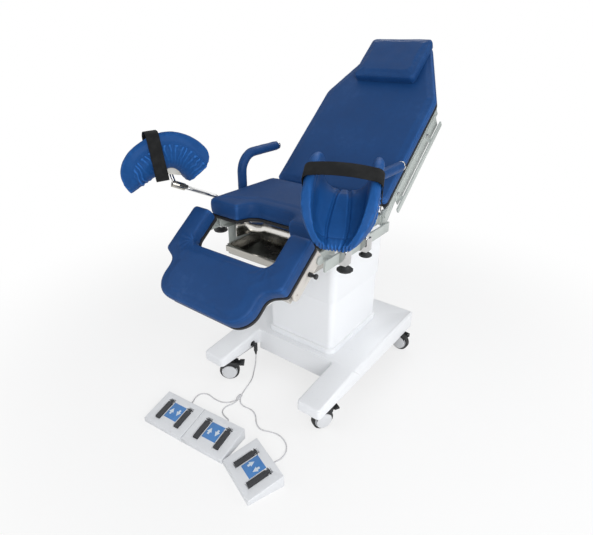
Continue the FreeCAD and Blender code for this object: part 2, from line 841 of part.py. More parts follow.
def rail_clamps():
    x0 = bar_inner + bar_thickness
    x1 = socket_x + post_radius + 5
    lip = 6.0
    solids = []
    for y in (support_clamp_y, armrest_clamp_y):
        block = box(x0, x1, y - clamp_half, y + clamp_half, bar_bottom - lip, bar_top + lip)
        top = box(bar_inner - 3, x0, y - clamp_half, y + clamp_half, bar_top, bar_top + lip)
        low = box(bar_inner - 3, x0, y - clamp_half, y + clamp_half, bar_bottom - lip, bar_bottom)
        radius = post_radius if y == support_clamp_y else armrest_tube_radius
        block = join(block, top, low)
        block = block.cut(upright(socket_x, y, socket_floor, bar_top + lip, radius + pin_gap))
        block = block.cut(upright(socket_x, y, bar_bottom - lip, socket_floor, screw_small_radius + pin_gap))
        solids += both_sides(block)
    return solids


def clamp_knob(y, radius):
    return knob(socket_x, y, bar_bottom - 6.0 - soft_gap, socket_floor - 2, radius)


right_pad = (pad_heading, pad_dip, pad_roll, pad_bend, pad_joint)
left_pad = (left_pad_heading, left_pad_dip, left_pad_roll, left_pad_bend, left_pad_joint)


def pad_axes(pad):
    """A knee pad's own axes, drawn on the right: across, towards the foot end, and up out of the trough."""
    heading = math.radians(pad[0])
    dip = math.radians(pad[1])
    roll = math.radians(pad[2])
    along = Vec(math.sin(heading) * math.cos(dip), -math.cos(heading) * math.cos(dip), -math.sin(dip))
    level = Vec(math.cos(heading), math.sin(heading), 0)
    tilted = along.cross(level)
    across = level * math.cos(roll) + tilted * math.sin(roll)
    return across, along, across.cross(along) * -1


def on_pad(shape, pad):
    """Knee pads are drawn about the axis of their bend: X across, Y to the knee end, Z up out of the trough."""
    across, along, up = pad_axes(pad)
    bend = pad[3]
    matrix = FreeCAD.Matrix(across.x, -along.x, up.x, bend.x,
                            across.y, -along.y, up.y, bend.y,
                            across.z, -along.z, up.z, bend.z, 0, 0, 0, 1)
    return shape.transformed(matrix, True)


def trough_section():
    """Trough section at the bend: flat floor, round sides and upright wings with round rims."""
    low = pad_underside
    top = low + pad_wing - pad_padding / 2
    rise = 0.5 * pad_wing
    lean = 0.7071

    def side(half, floor, height, mirror):
        x = lambda value: mirror * value
        knee = Vec(x(floor + (half - floor) * lean), 0, height + rise * (1 - lean))
        return [Part.LineSegment(Vec(0, 0, height), Vec(x(floor), 0, height)),
                Part.Arc(Vec(x(floor), 0, height), knee, Vec(x(half), 0, height + rise)),
                Part.LineSegment(Vec(x(half), 0, height + rise), Vec(x(half), 0, top))]

    edges = []
    inner = pad_half - pad_padding
    middle = pad_half - pad_padding / 2
    for mirror in (-1, 1):
        edges += side(pad_half, pad_floor_half, low, mirror)
        edges += side(inner, pad_floor_half - 0.3 * pad_padding, low + pad_padding, mirror)
        edges.append(Part.Arc(Vec(mirror * pad_half, 0, top), Vec(mirror * middle, 0, top + pad_padding / 2),
                              Vec(mirror * inner, 0, top)))
    wire = Part.Wire(Part.__sortEdges__([edge.toShape() for edge in edges]))
    return Part.Face(wire)


def rounded_tip(length):
    """What is cut off the wings to round their tips, at the given length along +Y."""
    top = pad_underside + pad_wing
    r = pad_tip_radius
    block = box(-2 * pad_half, 2 * pad_half, length - r, length + 1, top - r, top + 1)
    return block.cut(along_x(-2 * pad_half, 2 * pad_half, length - r, top - r, r))


def tapered_tip():
    """What is cut off the wings at the near end, where the rim runs down in a long curve."""
    top = pad_underside + pad_wing
    center = Vec(0, pad_near - pad_taper, top - pad_taper_drop)
    block = box(-2 * pad_half, 2 * pad_half, center.y, pad_near + 1, center.z, top + 1)
    curve = Part.Ellipse(center + Vec(0, pad_taper, 0), center + Vec(0, 0, pad_taper_drop), center)
    round_end = Part.Face(Part.Wire(curve.toShape())).extrude(Vec(4 * pad_half, 0, 0))
    return block.cut(round_end.translate(Vec(-2 * pad_half, 0, 0)))


strap_turn = 4.0
strap_drop = 60.0
strap_round = 25.0
strap_arch = 9.0


def knee_pad(pad):
    """Knee pad, a padded trough that bends down behind the knee, with its strap."""
    axis = Vec(1, 0, 0)
    section = trough_section()
    near = section.extrude(Vec(0, -pad_near, 0))
    near = near.cut(placed(tapered_tip(), Vec(0, 0, 0), Vec(0, 0, 1), 180))
    bend = section.revolve(Vec(0, 0, 0), axis, -pad_turn)
    far = section.extrude(Vec(0, pad_far, 0)).cut(rounded_tip(pad_far))
    bend = bend.cut(placed(rounded_tip(pad_far), Vec(0, 0, 0), axis, -pad_turn))
    far = placed(far, Vec(0, 0, 0), axis, -pad_turn)
    trough = join(near, bend, far)
    band = placed(strap(), Vec(0, 0, 0), axis, -strap_turn)
    return [on_pad(trough, pad), on_pad(band, pad)]


def strap():
    """Webbing over the open trough, round both rims and down the outside of the wings."""
    rim = pad_underside + pad_wing - pad_padding / 2 + 1
    y = -strap_width / 2
    lean = 0.7071

    def bent(grow):
        x = pad_half + soft_gap + grow
        r = strap_round + grow
        top = rim + r
        edges = [Part.Arc(Vec(r - x, y, top), Vec(0, y, top + strap_arch), Vec(x - r, y, top))]
        for side in (-1, 1):
            edges.append(Part.LineSegment(Vec(side * x, y, rim - strap_drop), Vec(side * x, y, rim)))
            shoulder = Vec(side * (x - r * (1 - lean)), y, rim + r * lean)
            edges.append(Part.Arc(Vec(side * x, y, rim), shoulder, Vec(side * (x - r), y, top)))
        return edges

    inside = bent(0)
    outside = bent(strap_thickness)
    ends = [Part.LineSegment(inside[1].StartPoint, outside[1].StartPoint),
            Part.LineSegment(inside[3].StartPoint, outside[3].StartPoint)]
    wire = Part.Wire(Part.__sortEdges__([edge.toShape() for edge in inside + outside + ends]))
    return Part.Face(wire).extrude(Vec(0, strap_width, 0))


def pole_line(pad):
    """Pole of a knee pad: up out of its clamp, then forwards and out to the pad's joint."""
    corner = Vec(socket_x, support_clamp_y, socket_floor + pole_bend_rise)
    return [Vec(socket_x, support_clamp_y, socket_floor), corner, pad[4]]


def support_pole(pad):
    shape, path, radii = bent_rod(pole_line(pad), pole_bend, post_radius)
    return shape


sleeve_back = 22.0
sleeve_front = 34.0


def pad_bracket(pad):
    """Sleeve on the pole's end, its wing knob, and the neck and saddle under the pad."""
    start, corner, end = pole_line(pad)
    way = (end - corner).normalize()
    across, along, up = pad_axes(pad)
    tail = end - way * sleeve_back
    sleeve = rod(tail, end + way * sleeve_front, sleeve_radius)
    sleeve = sleeve.cut(rod(tail, end + way * slide_gap, post_radius + pin_gap))
    crest = (up * math.cos(math.radians(pad_turn / 2)) - along * math.sin(math.radians(pad_turn / 2))).normalize()
    neck = rod(end + way * (sleeve_front - 12), pad[3] + crest * 14, 8)
    block = along_x(-42, 42, 0, 0, pad_underside - soft_gap)
    block = block.cut(box(-50, 50, -pad_underside, pad_underside, -pad_underside, pad_underside / 3))
    saddle = on_pad(placed(block, Vec(0, 0, 0), Vec(1, 0, 0), -pad_turn / 2), pad)
    side = way.cross(up).normalize()
    knob_root = tail + way * 12
    wing = rod(knob_root + side * (sleeve_radius - 3), knob_root + side * (sleeve_radius + 16), 6)
    grip_middle = knob_root + side * (sleeve_radius + 10)
    grip = rod(grip_middle - way * 16, grip_middle + way * 16, 7)
    return join(sleeve, neck, saddle, wing, grip)


def armrest_line():
    top = seat_top + armrest_rise
    return [Vec(socket_x, armrest_clamp_y, socket_floor), Vec(socket_x, armrest_clamp_y, top),
            Vec(socket_x, armrest_end_y, top)]


armrest_pad_drop = 45.0
cap_length = 14.0


def armrest():
    """Right bent tube with its end cap, and the padded sleeve on it."""
    start, corner, end = armrest_line()
    tube, path, radii = bent_rod([start, corner, end], armrest_bend, armrest_tube_radius)
    cap = rod(end - Vec(0, cap_length, 0), end, armrest_pad_radius - 1)
    cap = cap.makeFillet(6, [edge for edge in cap.Edges if abs(edge.BoundBox.YMin - end.y) < 0.01 and edge.Closed])
    low = Vec(socket_x, armrest_clamp_y, seat_top - armrest_pad_drop)
    stop = end - Vec(0, cap_length, 0)
    pad, path, radii = bent_rod([low, corner, stop], armrest_bend, armrest_pad_radius)
    bore, path, radii = bent_rod([low, corner, stop], armrest_bend, armrest_tube_radius + 0.2)
    return [join(tube, cap), pad.cut(bore)]


def castor_place(x, y, heading):
    """Castors are drawn with the kingpin on the Z axis and the wheel trailing along +X."""
    return lambda shape: placed(shape, Vec(x, y, 0), Vec(0, 0, 1), heading)


brake_trail = 74.0
brake_z = 95.0
wheel_gap = 2.0


def castor_fork():
    radius = wheel_diameter / 2
    inner = wheel_width / 2 + wheel_gap
    outer = inner + fork_plate
    top = beam_bottom - slide_gap
    crown = wheel_diameter + 6
    head = upright(0, 0, crown, top, 26)
    stem = upright(0, 0, top - 1, beam_top - 3, stem_radius)
    bridge = box(-26, castor_trail + 14, -outer, outer, crown, crown + 6)
    side = [Vec(-20, inner, crown + 6), Vec(brake_trail + 8, inner, crown), Vec(brake_trail + 8, inner, brake_z - 8),
            Vec(castor_trail + 13, inner, radius - 4), Vec(castor_trail, inner, radius - 13),
            Vec(castor_trail - 13, inner, radius - 4), Vec(-20, inner, crown - 4)]
    plate = Part.Face(Part.makePolygon(side + side[:1])).extrude(Vec(0, fork_plate, 0))
    brake_bore = rod(Vec(brake_trail, 0, brake_z), Vec(brake_trail, outer + 1, brake_z), brake_pin_radius + pin_gap)
    plate = plate.cut(brake_bore)
    other = plate.mirror(Vec(0, 0, 0), Vec(0, 1, 0))
    axle = rod(Vec(castor_trail, -outer - 2, radius), Vec(castor_trail, outer + 2, radius), axle_radius)
    return join(head, stem, bridge, plate, other, axle)


def castor_wheel():
    radius = wheel_diameter / 2
    half = wheel_width / 2
    start = Vec(castor_trail, -half, radius)
    end = Vec(castor_trail, half, radius)
    hub = rod(start, end, hub_radius)
    for side in (-1, 1):
        face = Vec(castor_trail, side * half, radius)
        dish = rod(face, face - Vec(0, side * 4, 0), hub_radius - 6)
        hub = hub.cut(dish).fuse(rod(face, face - Vec(0, side * 4, 0), 3 * axle_radius))
    hub = hub.cut(rod(start, end, axle_radius + pin_gap))
    tyre = rod(start, end, radius)
    tyre = tyre.makeFillet(6, [edge for edge in tyre.Edges if edge.Closed])
    return [hub, tyre.cut(rod(start, end, hub_radius))]


def castor_brake():
    half = wheel_width / 2 + wheel_gap - 0.5
    arm = box(brake_trail - 4, brake_trail + 40, -half, half, brake_z - 4, brake_z + 4)
    pedal = box(brake_trail + 16, brake_trail + 40, -half - 6, half + 6, brake_z - 3, brake_z + 5)
    outer = wheel_width / 2 + wheel_gap + fork_plate
    pin = rod(Vec(brake_trail, -outer, brake_z), Vec(brake_trail, outer, brake_z), brake_pin_radius)
    return join(arm, pedal, pin)


# Foot control cases: drawn with the front edge on the X axis, the back edge at the case's depth
case_places = [(-243.0, -908.0, 5.3), (-17.0, -885.5, 6.0), (201.5, -909.0, -20.5)]
groove_depth = 12.0
pedal_play = 2.0


def case_slope():
    return math.degrees(math.atan2(pedal_case_back - pedal_case_front, pedal_case_depth))


def on_case_top(shape):
    """Pieces on the sloping lid are drawn flat, with Y up the slope from the front edge."""
    return placed(shape, Vec(0, 0, pedal_case_front), Vec(1, 0, 0), case_slope())


def pedal_case():
    half = pedal_case_width / 2
    side = [Vec(-half, 0, 0), Vec(-half, pedal_case_depth, 0), Vec(-half, pedal_case_depth, pedal_case_back),
            Vec(-half, 0, pedal_case_front)]
    case = Part.Face(Part.makePolygon(side + side[:1])).extrude(Vec(pedal_case_width, 0, 0))
    case = case.makeFillet(3, [edge for edge in case.Edges if edge.BoundBox.ZMin > 1])
    room = pedal_width / 2 + pedal_play
    for x in (-pedal_spread, pedal_spread):
        groove_end = pedal_start + pedal_length + 6
        groove = box(x - room, x + room, pedal_start - 4, groove_end, -groove_depth, pedal_case_back)
        pin = along_x(x - room - 3, x + room + 3, pedal_hinge_y(), 0, pedal_pin_radius + pin_gap)
        case = case.cut(on_case_top(groove)).cut(on_case_top(pin))
    gland = rod(Vec(0, pedal_case_depth - 1, gland_height), Vec(0, pedal_case_depth + 8, gland_height), 7)
    return join(case, gland)


gland_height = 10.0


def pedal_hinge_y():
    return pedal_start + pedal_length - 5


def pedal(x):
    """Ribbed bar pedal with a narrow hinge knuckle at its far end."""
    half = pedal_width / 2
    bar = box(x - half, x + half, pedal_start, pedal_start + pedal_length - 16, -pedal_rise, pedal_rise)
    for i in range(12):
        y = pedal_start + 6 + 7 * i
        bar = bar.cut(box(x - half, x + half, y, y + 2, pedal_rise - 1.2, pedal_rise + 1))
    neck = box(x - 5, x + 5, pedal_start + pedal_length - 17, pedal_hinge_y(), -4, 4)
    knuckle = along_x(x - 5, x + 5, pedal_hinge_y(), 0, 5)
    room = half + pedal_play + 2.5
    pin = along_x(x - room, x + room, pedal_hinge_y(), 0, pedal_pin_radius)
    return on_case_top(join(bar, neck, knuckle, pin))


# Cables: points of the routes on the floor, chosen to follow the loops between the plug and the cases
cable_radius = cable_diameter / 2
floor_z = cable_radius + 0.15
plug_x = -prong_inner + 20.0
cable_start_z = 84.0


def floor_points(pairs):
    return [Vec(x, y, floor_z) for x, y in pairs]


def gland_end(index):
    x, y, heading = case_places[index]
    turn = math.radians(heading)
    depth = pedal_case_depth + 8
    return Vec(x - depth * math.sin(turn), y + depth * math.cos(turn), gland_height)


def cable_route(index):
    if index == 0:
        drop = [Vec(plug_x, plug_y, cable_start_z), Vec(plug_x, plug_y - 1, 62), Vec(plug_x + 3, plug_y - 8, 34),
                Vec(plug_x + 10, plug_y - 25, 12)]
        floor = floor_points([(plug_x + 23, -368), (plug_x + 46, -402), (-143, -445), (-130, -498), (-111, -548),
                              (-122, -596), (-158, -624), (-205, -629), (-250, -622), (-284, -640), (-286, -678)])
        return drop + floor + [Vec(-267, -708, 5.5), gland_end(0)]
    if index == 1:
        floor = floor_points([(-112, -552), (-104, -592), (-126, -628), (-116, -668), (-78, -682)])
        return floor + [Vec(-47, -684, 6.0), gland_end(1)]
    floor = floor_points([(-118, -532), (-94, -572), (-53, -580), (-9, -572), (29, -590), (60, -624), (99, -642),
                          (139, -626), (184, -612), (235, -626), (268, -661), (275, -703)])
    return floor + [Vec(267, -733, 6.5), gland_end(2)]


def pedal_plug():
    """Right-angle plug in the base's socket, with its strain relief."""
    collar = along_x(-prong_inner + 1, plug_x, plug_y, plug_z, 10)
    barrel = upright(plug_x, plug_y, plug_z - 34, plug_z + 9, 10)
    relief = Part.makeCone(8, cable_radius + 1, 23, Vec(plug_x, plug_y, plug_z - 34), Vec(0, 0, -1))
    return join(collar, barrel, relief)


def pedal_socket():
    outer = along_x(-prong_inner - 14, -prong_inner + 1, plug_y, plug_z, 12)
    flange = along_x(-prong_inner, -prong_inner + 1, plug_y, plug_z, 16)
    return join(outer, flange)


# Build and save every node
save("base_frame", base_frame())
save("base_cover", base_cover())
save("column_cover", column_cover())
save("lift_outer_tube", *lift_outer_tube())
save("control_box", box(-85, 85, column_half_y + 15, 345, deck_top, base_top - 2 * cover_wall))
save("pedal_socket", pedal_socket())

castors = {
    "front_left": (-beam_center, castor_front_y, 37),
    "front_right": (beam_center, castor_front_y, 62),
    "rear_left": (-beam_center, castor_back_y, 128),
    "rear_right": (beam_center, castor_back_y, -5),
}
for corner, (x, y, heading) in castors.items():
    place = castor_place(x, y, heading)
    save("castor_fork_" + corner, place(castor_fork()))
    save("castor_wheel_" + corner, *[place(solid) for solid in castor_wheel()])
    if corner.startswith("front"):
        save("castor_brake_" + corner, place(castor_brake()))

save("lift_inner_tube", lift_inner_tube())
save("upper_column_cover", upper_column_cover())
save("tilt_actuator_body", tilt_actuator_body())
save("tilt_actuator_rod", tilt_actuator_rod())
save("seat_frame", seat_frame())
save("seat_cushion", *seat_cushion())
save("basin_skirt", basin_skirt())
save("drain_tray", drain_tray())
save("rail_clamps", *rail_clamps())
save("back_actuator_body", back_actuator_body())
save("back_actuator_rod", back_actuator_rod())
save("back_frame", *back_frame(), back_shell())
save("back_cushion", *back_cushion())
save("back_rails", *back_rails())
save("head_pillow", head_pillow())
save("leg_frame", leg_frame())
save("leg_cushion", *leg_cushion())

handed = {
    "leg_knob": [leg_knob()],
    "support_knob": [clamp_knob(support_clamp_y, support_knob_radius)],
    "armrest": armrest(),
    "armrest_knob": [clamp_knob(armrest_clamp_y, armrest_knob_radius)],
}
for name, solids in handed.items():
    save(name + "_right", *solids)
    save(name + "_left", *[mirrored(solid) for solid in solids])

save("support_pole_right", support_pole(right_pad))
save("support_pole_left", mirrored(support_pole(left_pad)))
save("pad_bracket_right", pad_bracket(right_pad))
save("pad_bracket_left", mirrored(pad_bracket(left_pad)))
save("knee_pad_right", *knee_pad(right_pad))
save("knee_pad_left", *[mirrored(solid) for solid in knee_pad(left_pad)])

for index, (x, y, heading) in enumerate(case_places):
    def place(shape):
        return placed(shape, Vec(x, y, 0), Vec(0, 0, 1), heading)

    save("pedal_case_%d" % (index + 1), place(pedal_case()))
    for letter, offset in (("a", -pedal_spread), ("b", pedal_spread)):
        save("pedal_%d%s" % (index + 1, letter), place(pedal(offset)))

save("pedal_plug", pedal_plug())
for index in range(3):
    route = cable_route(index)
    shape, path, radii = bent_rod(route, None, cable_radius)
    expected = math.pi * cable_radius ** 2 * path.Length
    print("cable", index + 1, "length %.0f" % path.Length, "volume ratio %.4f" % (shape.Volume / expected),
          "radii", " ".join("%.0f" % radius for radius in radii))
    save("pedal_cable_%d" % (index + 1), shape)
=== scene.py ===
import bpy
import json
import math
import numpy as np
from mathutils import Matrix, Vector, noise


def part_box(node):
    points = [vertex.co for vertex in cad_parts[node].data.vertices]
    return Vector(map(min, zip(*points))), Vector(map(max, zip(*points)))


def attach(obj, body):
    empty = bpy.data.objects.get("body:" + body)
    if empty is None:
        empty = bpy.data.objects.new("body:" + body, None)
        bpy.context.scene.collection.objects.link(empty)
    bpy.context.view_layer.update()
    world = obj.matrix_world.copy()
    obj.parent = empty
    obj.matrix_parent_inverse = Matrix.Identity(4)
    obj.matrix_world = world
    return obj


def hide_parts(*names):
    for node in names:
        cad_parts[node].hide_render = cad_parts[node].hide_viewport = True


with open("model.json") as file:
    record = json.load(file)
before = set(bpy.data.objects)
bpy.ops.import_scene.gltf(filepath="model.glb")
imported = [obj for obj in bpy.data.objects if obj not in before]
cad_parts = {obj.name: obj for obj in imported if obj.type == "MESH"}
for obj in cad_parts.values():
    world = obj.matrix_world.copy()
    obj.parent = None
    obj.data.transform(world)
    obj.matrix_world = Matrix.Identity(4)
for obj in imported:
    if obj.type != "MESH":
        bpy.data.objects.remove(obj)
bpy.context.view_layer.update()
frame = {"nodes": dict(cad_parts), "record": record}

# Camera and studio: a photograph from above the right foot end, in soft white light.
# The floor is a pale sheet that keeps the chair's shadow and fades into the white behind it.
scene = bpy.context.scene
scene.view_settings.view_transform = "Standard"
camera = bpy.data.objects.new("camera", bpy.data.cameras.new("camera"))
scene.collection.objects.link(camera)
picture_width, focal_length = 593, 454.68
eye = (1.12083, -1.73435, 1.56429)
heading, dip, roll = 36.92, 26.737, 0.233
camera.data.sensor_width = 36.0
camera.data.lens = camera.data.sensor_width * focal_length / picture_width
camera.data.clip_end = 50.0
camera.matrix_world = (Matrix.Translation(eye) @ Matrix.Rotation(math.radians(heading), 4, "Z")
                       @ Matrix.Rotation(math.radians(90 - dip), 4, "X")
                       @ Matrix.Rotation(math.radians(roll), 4, "Z"))
scene.camera = camera


class Thread:
    """A socket in a material's nodes; arithmetic on it adds Math nodes."""

    def __init__(self, tree, socket=None):
        self.tree = tree
        self.socket = socket

    def node(self, kind, settings, values, output=0):
        made = self.tree.nodes.new("ShaderNode" + kind)
        for name, value in settings.items():
            setattr(made, name, value)
        for name, value in values.items():
            if isinstance(value, Thread):
                self.tree.links.new(value.socket, made.inputs[name])
            else:
                made.inputs[name].default_value = value
        return Thread(self.tree, made.outputs[output])

    def maths(self, operation, first, second):
        return self.node("Math", {"operation": operation}, {0: first, 1: second})

    def __add__(self, other):
        return self.maths("ADD", self, other)

    __radd__ = __add__

    def __sub__(self, other):
        return self.maths("SUBTRACT", self, other)

    def __rsub__(self, other):
        return self.maths("SUBTRACT", other, self)

    def __mul__(self, other):
        return self.maths("MULTIPLY", self, other)

    __rmul__ = __mul__

    def above(self, edge, width):
        """0 below the edge and 1 above it, with a soft step of the given width."""
        return self.node("MapRange", {"interpolation_type": "SMOOTHSTEP"},
                         {0: self, 1: edge - width / 2, 2: edge + width / 2, 3: 0.0, 4: 1.0})

    def axes(self):
        return [self.node("SeparateXYZ", {}, {0: self}, axis) for axis in "XYZ"]

    def stretched(self, x, y, z):
        return self.node("VectorMath", {"operation": "MULTIPLY"}, {0: self, 1: (x, y, z)})

    def clouds(self, scale, detail=3.0, roughness=0.55):
        return self.node("TexNoise", {},
                         {"Vector": self, "Scale": scale, "Detail": detail, "Roughness": roughness})

    def cells(self, scale):
        return self.node("TexVoronoi", {"feature": "SMOOTH_F1"},
                         {"Vector": self, "Scale": scale, "Smoothness": 0.6})

    def blend(self, first, second):
        """The first colour where this is 0, the second where it is 1."""
        return self.node("Mix", {"data_type": "RGBA"}, {0: self, 6: first, 7: second}, 2)

    def shown(self):
        """1 for rays from the camera, off a mirror or through glass, and then 1 for rays off a mirror only."""
        camera_ray, mirror_ray, glass_ray = (self.node("LightPath", {}, {}, f"Is {kind} Ray")
                                             for kind in ("Camera", "Glossy", "Transmission"))
        return self.maths("MINIMUM", camera_ray + mirror_ray + glass_ray, 1.0), mirror_ray

    def bump(self, strength, distance, below=None):
        values = {"Strength": strength, "Distance": distance, "Height": self}
        if below is not None:
            values["Normal"] = below
        return self.node("Bump", {}, values)


def rgb(red, green, blue):
    return (red, green, blue, 1.0)


world = bpy.data.worlds.new("studio")
scene.world = world
world.use_nodes = True
world.node_tree.nodes.clear()
air = Thread(world.node_tree)
showing, mirrored = air.shown()
height = air.node("TexCoord", {}, {}, "Generated").axes()[2]
mirrored_room = 0.14 + 0.86 * height.above(0.46, 0.3)
dim = air.node("Background", {}, {"Color": rgb(0.97, 0.985, 1.0), "Strength": 0.43})
bright = air.node("Background", {}, {"Color": rgb(1.0, 1.0, 1.0),
                                     "Strength": 1.0 - mirrored + mirrored * mirrored_room})
sky = air.node("MixShader", {}, {0: showing, 1: dim, 2: bright})
world.node_tree.links.new(sky.socket, world.node_tree.nodes.new("ShaderNodeOutputWorld").inputs["Surface"])

lit_point = Vector((0.0, -0.1, 0.6))
for name, place, size, power in (("key", (2.4, -2.4, 2.0), 2.2, 66.0), ("fill", (-1.9, -2.6, 1.9), 2.4, 14.0),
                                 ("side", (2.6, 0.7, 1.7), 1.6, 20.0), ("back", (-0.6, 2.4, 2.9), 2.2, 18.0)):
    lamp = bpy.data.objects.new(name, bpy.data.lights.new(name, "AREA"))
    scene.collection.objects.link(lamp)
    lamp.data.shape = "DISK"
    lamp.data.size = size
    lamp.data.energy = power
    lamp.location = place
    lamp.rotation_euler = (lit_point - lamp.location).to_track_quat("-Z", "Y").to_euler()

bpy.ops.object.select_all(action="DESELECT")
bpy.ops.mesh.primitive_circle_add(vertices=96, radius=7.0, fill_type="NGON", location=(0, 0, 0))
floor = bpy.context.object
floor.name = "floor"
paper = bpy.data.materials.new("paper_floor")
paper.use_nodes = True
paper.node_tree.nodes.clear()
sheet = Thread(paper.node_tree)
spot = sheet.node("TexCoord", {}, {}, "Object")
showing = sheet.shown()[0]
reach = spot.node("VectorMath", {"operation": "LENGTH"}, {0: spot}, 1)
matt = sheet.node("BsdfDiffuse", {}, {"Color": rgb(0.86, 0.86, 0.86)})
glow = sheet.node("Emission", {}, {"Color": rgb(1.0, 1.0, 1.0), "Strength": 1.0})
white = showing * (0.72 + 0.28 * reach.above(1.7, 1.6))
laid = sheet.node("MixShader", {}, {0: white, 1: matt, 2: glow})
paper.node_tree.links.new(laid.socket, paper.node_tree.nodes.new("ShaderNodeOutputMaterial").inputs["Surface"])
floor.data.materials.append(paper)


# Base frame: two long box beams, cross beams and a deck plate of welded steel, dipped in dark paint.
# It is hidden under the moulded cover and carries the castors and the column.
nodes = frame["nodes"]
body_of = {node: body for body, group in frame["record"]["behaviour"]["bodies"].items() for node in group}


def start_finish(name, settings):
    """A new material with its constant sockets set, and its Object coordinates."""
    finish = bpy.data.materials.new(name)
    finish.use_nodes = True
    shader = finish.node_tree.nodes["Principled BSDF"]
    for socket, value in settings.items():
        shader.inputs[socket].default_value = value
    return finish, Thread(finish.node_tree).node("TexCoord", {}, {}, "Object")


def feed(finish, **threads):
    shader = finish.node_tree.nodes["Principled BSDF"]
    for socket, thread in threads.items():
        finish.node_tree.links.new(thread.socket, shader.inputs[socket.replace("_", " ")])
    return finish


def painted_steel(name, colour, worn, roughness):
    """Sprayed enamel: a fine orange peel, cloudy colour, and rubbed patches that shine more."""
    finish, place = start_finish(name, {"Coat Weight": 0.08, "Coat Roughness": 0.25})
    cloud = place.clouds(7.0)
    rubbed = place.clouds(38.0, 6.0, 0.65).above(0.66, 0.12)
    peel = place.clouds(850.0, 2.0)
    return feed(finish, Base_Color=(0.7 * cloud + 0.3 * rubbed).above(0.52, 0.7).blend(colour, worn),
                Roughness=roughness + 0.12 * cloud - 0.1 * rubbed, Normal=peel.bump(0.16, 0.0004))


def coat(finish, *names):
    for name in names:
        for slot in nodes[name].material_slots:
            slot.material = finish


dark_enamel = painted_steel("dark_enamel", rgb(0.055, 0.058, 0.062), rgb(0.10, 0.105, 0.11), 0.42)
coat(dark_enamel, "base_frame", "control_box")


# Lift: square steel tubes with the screw and motor inside, and the tilt and back actuators beside them.
# Bright rods slide out of dark bodies; all of it sits under the covers and the seat.
def bright_metal(name, colour, roughness, grain, depth):
    """Polished or plated metal with drawing marks, smudges and fine pits."""
    finish, place = start_finish(name, {"Metallic": 1.0})
    smudge = place.clouds(24.0, 5.0, 0.6)
    drawn = place.stretched(*grain).clouds(60.0, 4.0, 0.7)
    shade = (0.5 * smudge + 0.5 * drawn).above(0.5, 0.6)
    dull = tuple(0.86 * value for value in colour[:3])
    return feed(finish, Base_Color=shade.blend(rgb(*dull), colour), Normal=drawn.bump(depth, 0.0003),
                Roughness=roughness + 0.1 * smudge.above(0.55, 0.3) + 0.06 * drawn)


chrome = bright_metal("chrome", rgb(0.63, 0.63, 0.63), 0.06, (1.0, 1.0, 0.2), 0.03)
stainless = bright_metal("stainless", rgb(0.46, 0.445, 0.41), 0.16, (1.0, 1.0, 9.0), 0.01)
coat(dark_enamel, "tilt_actuator_body", "back_actuator_body", "lift_outer_tube")
coat(chrome, "tilt_actuator_rod", "back_actuator_rod")
coat(stainless, "lift_inner_tube")


# Castors: black moulded forks on steel kingpins, rubber-tyred wheels with pale grey hubs, and foot brakes
# on the two front ones. Each fork turns freely, and each stands at the angle it was left at.
def taken(node, name):
    """A new piece from a node's mesh, its triangles merged and its flats made whole."""
    bpy.ops.object.select_all(action="DESELECT")
    piece = bpy.data.objects.new(name, nodes[node].data.copy())
    scene.collection.objects.link(piece)
    piece.select_set(True)
    bpy.context.view_layer.objects.active = piece
    bpy.ops.mesh.customdata_custom_splitnormals_clear()
    bpy.ops.object.mode_set(mode="EDIT")
    bpy.ops.mesh.select_all(action="SELECT")
    bpy.ops.mesh.remove_doubles(threshold=0.00002)
    bpy.ops.mesh.dissolve_limited(angle_limit=math.radians(1.0))
    bpy.ops.object.mode_set(mode="OBJECT")
    return piece


def activate(piece):
    bpy.ops.object.select_all(action="DESELECT")
    piece.select_set(True)
    bpy.context.view_layer.objects.active = piece


def eased(piece, width, segments=2, angle=35.0):
    """Rounds a piece's sharp edges and smooths its shading."""
    activate(piece)
    bevel = piece.modifiers.new("eased edges", "BEVEL")
    bevel.width = width
    bevel.segments = segments
    bevel.limit_method = "ANGLE"
    bevel.angle_limit = math.radians(angle)
    bpy.ops.object.modifier_apply(modifier=bevel.name)
    bpy.ops.object.shade_smooth_by_angle(angle=math.radians(40))
    return piece


def coated(piece, *finishes):
    piece.data.materials.clear()
    for finish in finishes:
        piece.data.materials.append(finish)
    return piece


def fitted(piece, node):
    """The piece stands for a node: it moves with the node's body, and the node is hidden."""
    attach(piece, body_of[node])
    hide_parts(node)
    return piece


def stamped(form, name, spot):
    """A copy of a form with its own mesh, moved to its spot."""
    piece = bpy.data.objects.new(name, form.data.copy())
    scene.collection.objects.link(piece)
    piece.data.transform(spot)
    return piece


def stepped(form, steps, chosen):
    """Insets a disc's end faces step by step, pushing each ring out or in."""
    for thickness, step in steps:
        for face in form.data.polygons:
            face.select = chosen(face.normal.y) and face.center.xz.length < 0.002
        bpy.ops.object.mode_set(mode="EDIT")
        bpy.ops.mesh.inset(thickness=thickness)
        bpy.ops.transform.shrink_fatten(value=step)
        bpy.ops.object.mode_set(mode="OBJECT")


def moulded(name, colour, scuffed, roughness, pits=0.2):
    """Moulded plastic: fine spark-eroded texture, faint flow marks and scuffs."""
    finish, place = start_finish(name, {"Specular IOR Level": 0.45})
    flow = place.clouds(9.0, 4.0)
    scuff = place.stretched(1.0, 3.0, 1.0).clouds(90.0, 6.0, 0.7).above(0.64, 0.1)
    texture = place.clouds(1300.0, 2.0)
    return feed(finish, Base_Color=(0.55 * flow + 0.45 * scuff).above(0.5, 0.7).blend(colour, scuffed),
                Roughness=roughness + 0.16 * flow - 0.08 * scuff, Normal=texture.bump(pits, 0.0004))


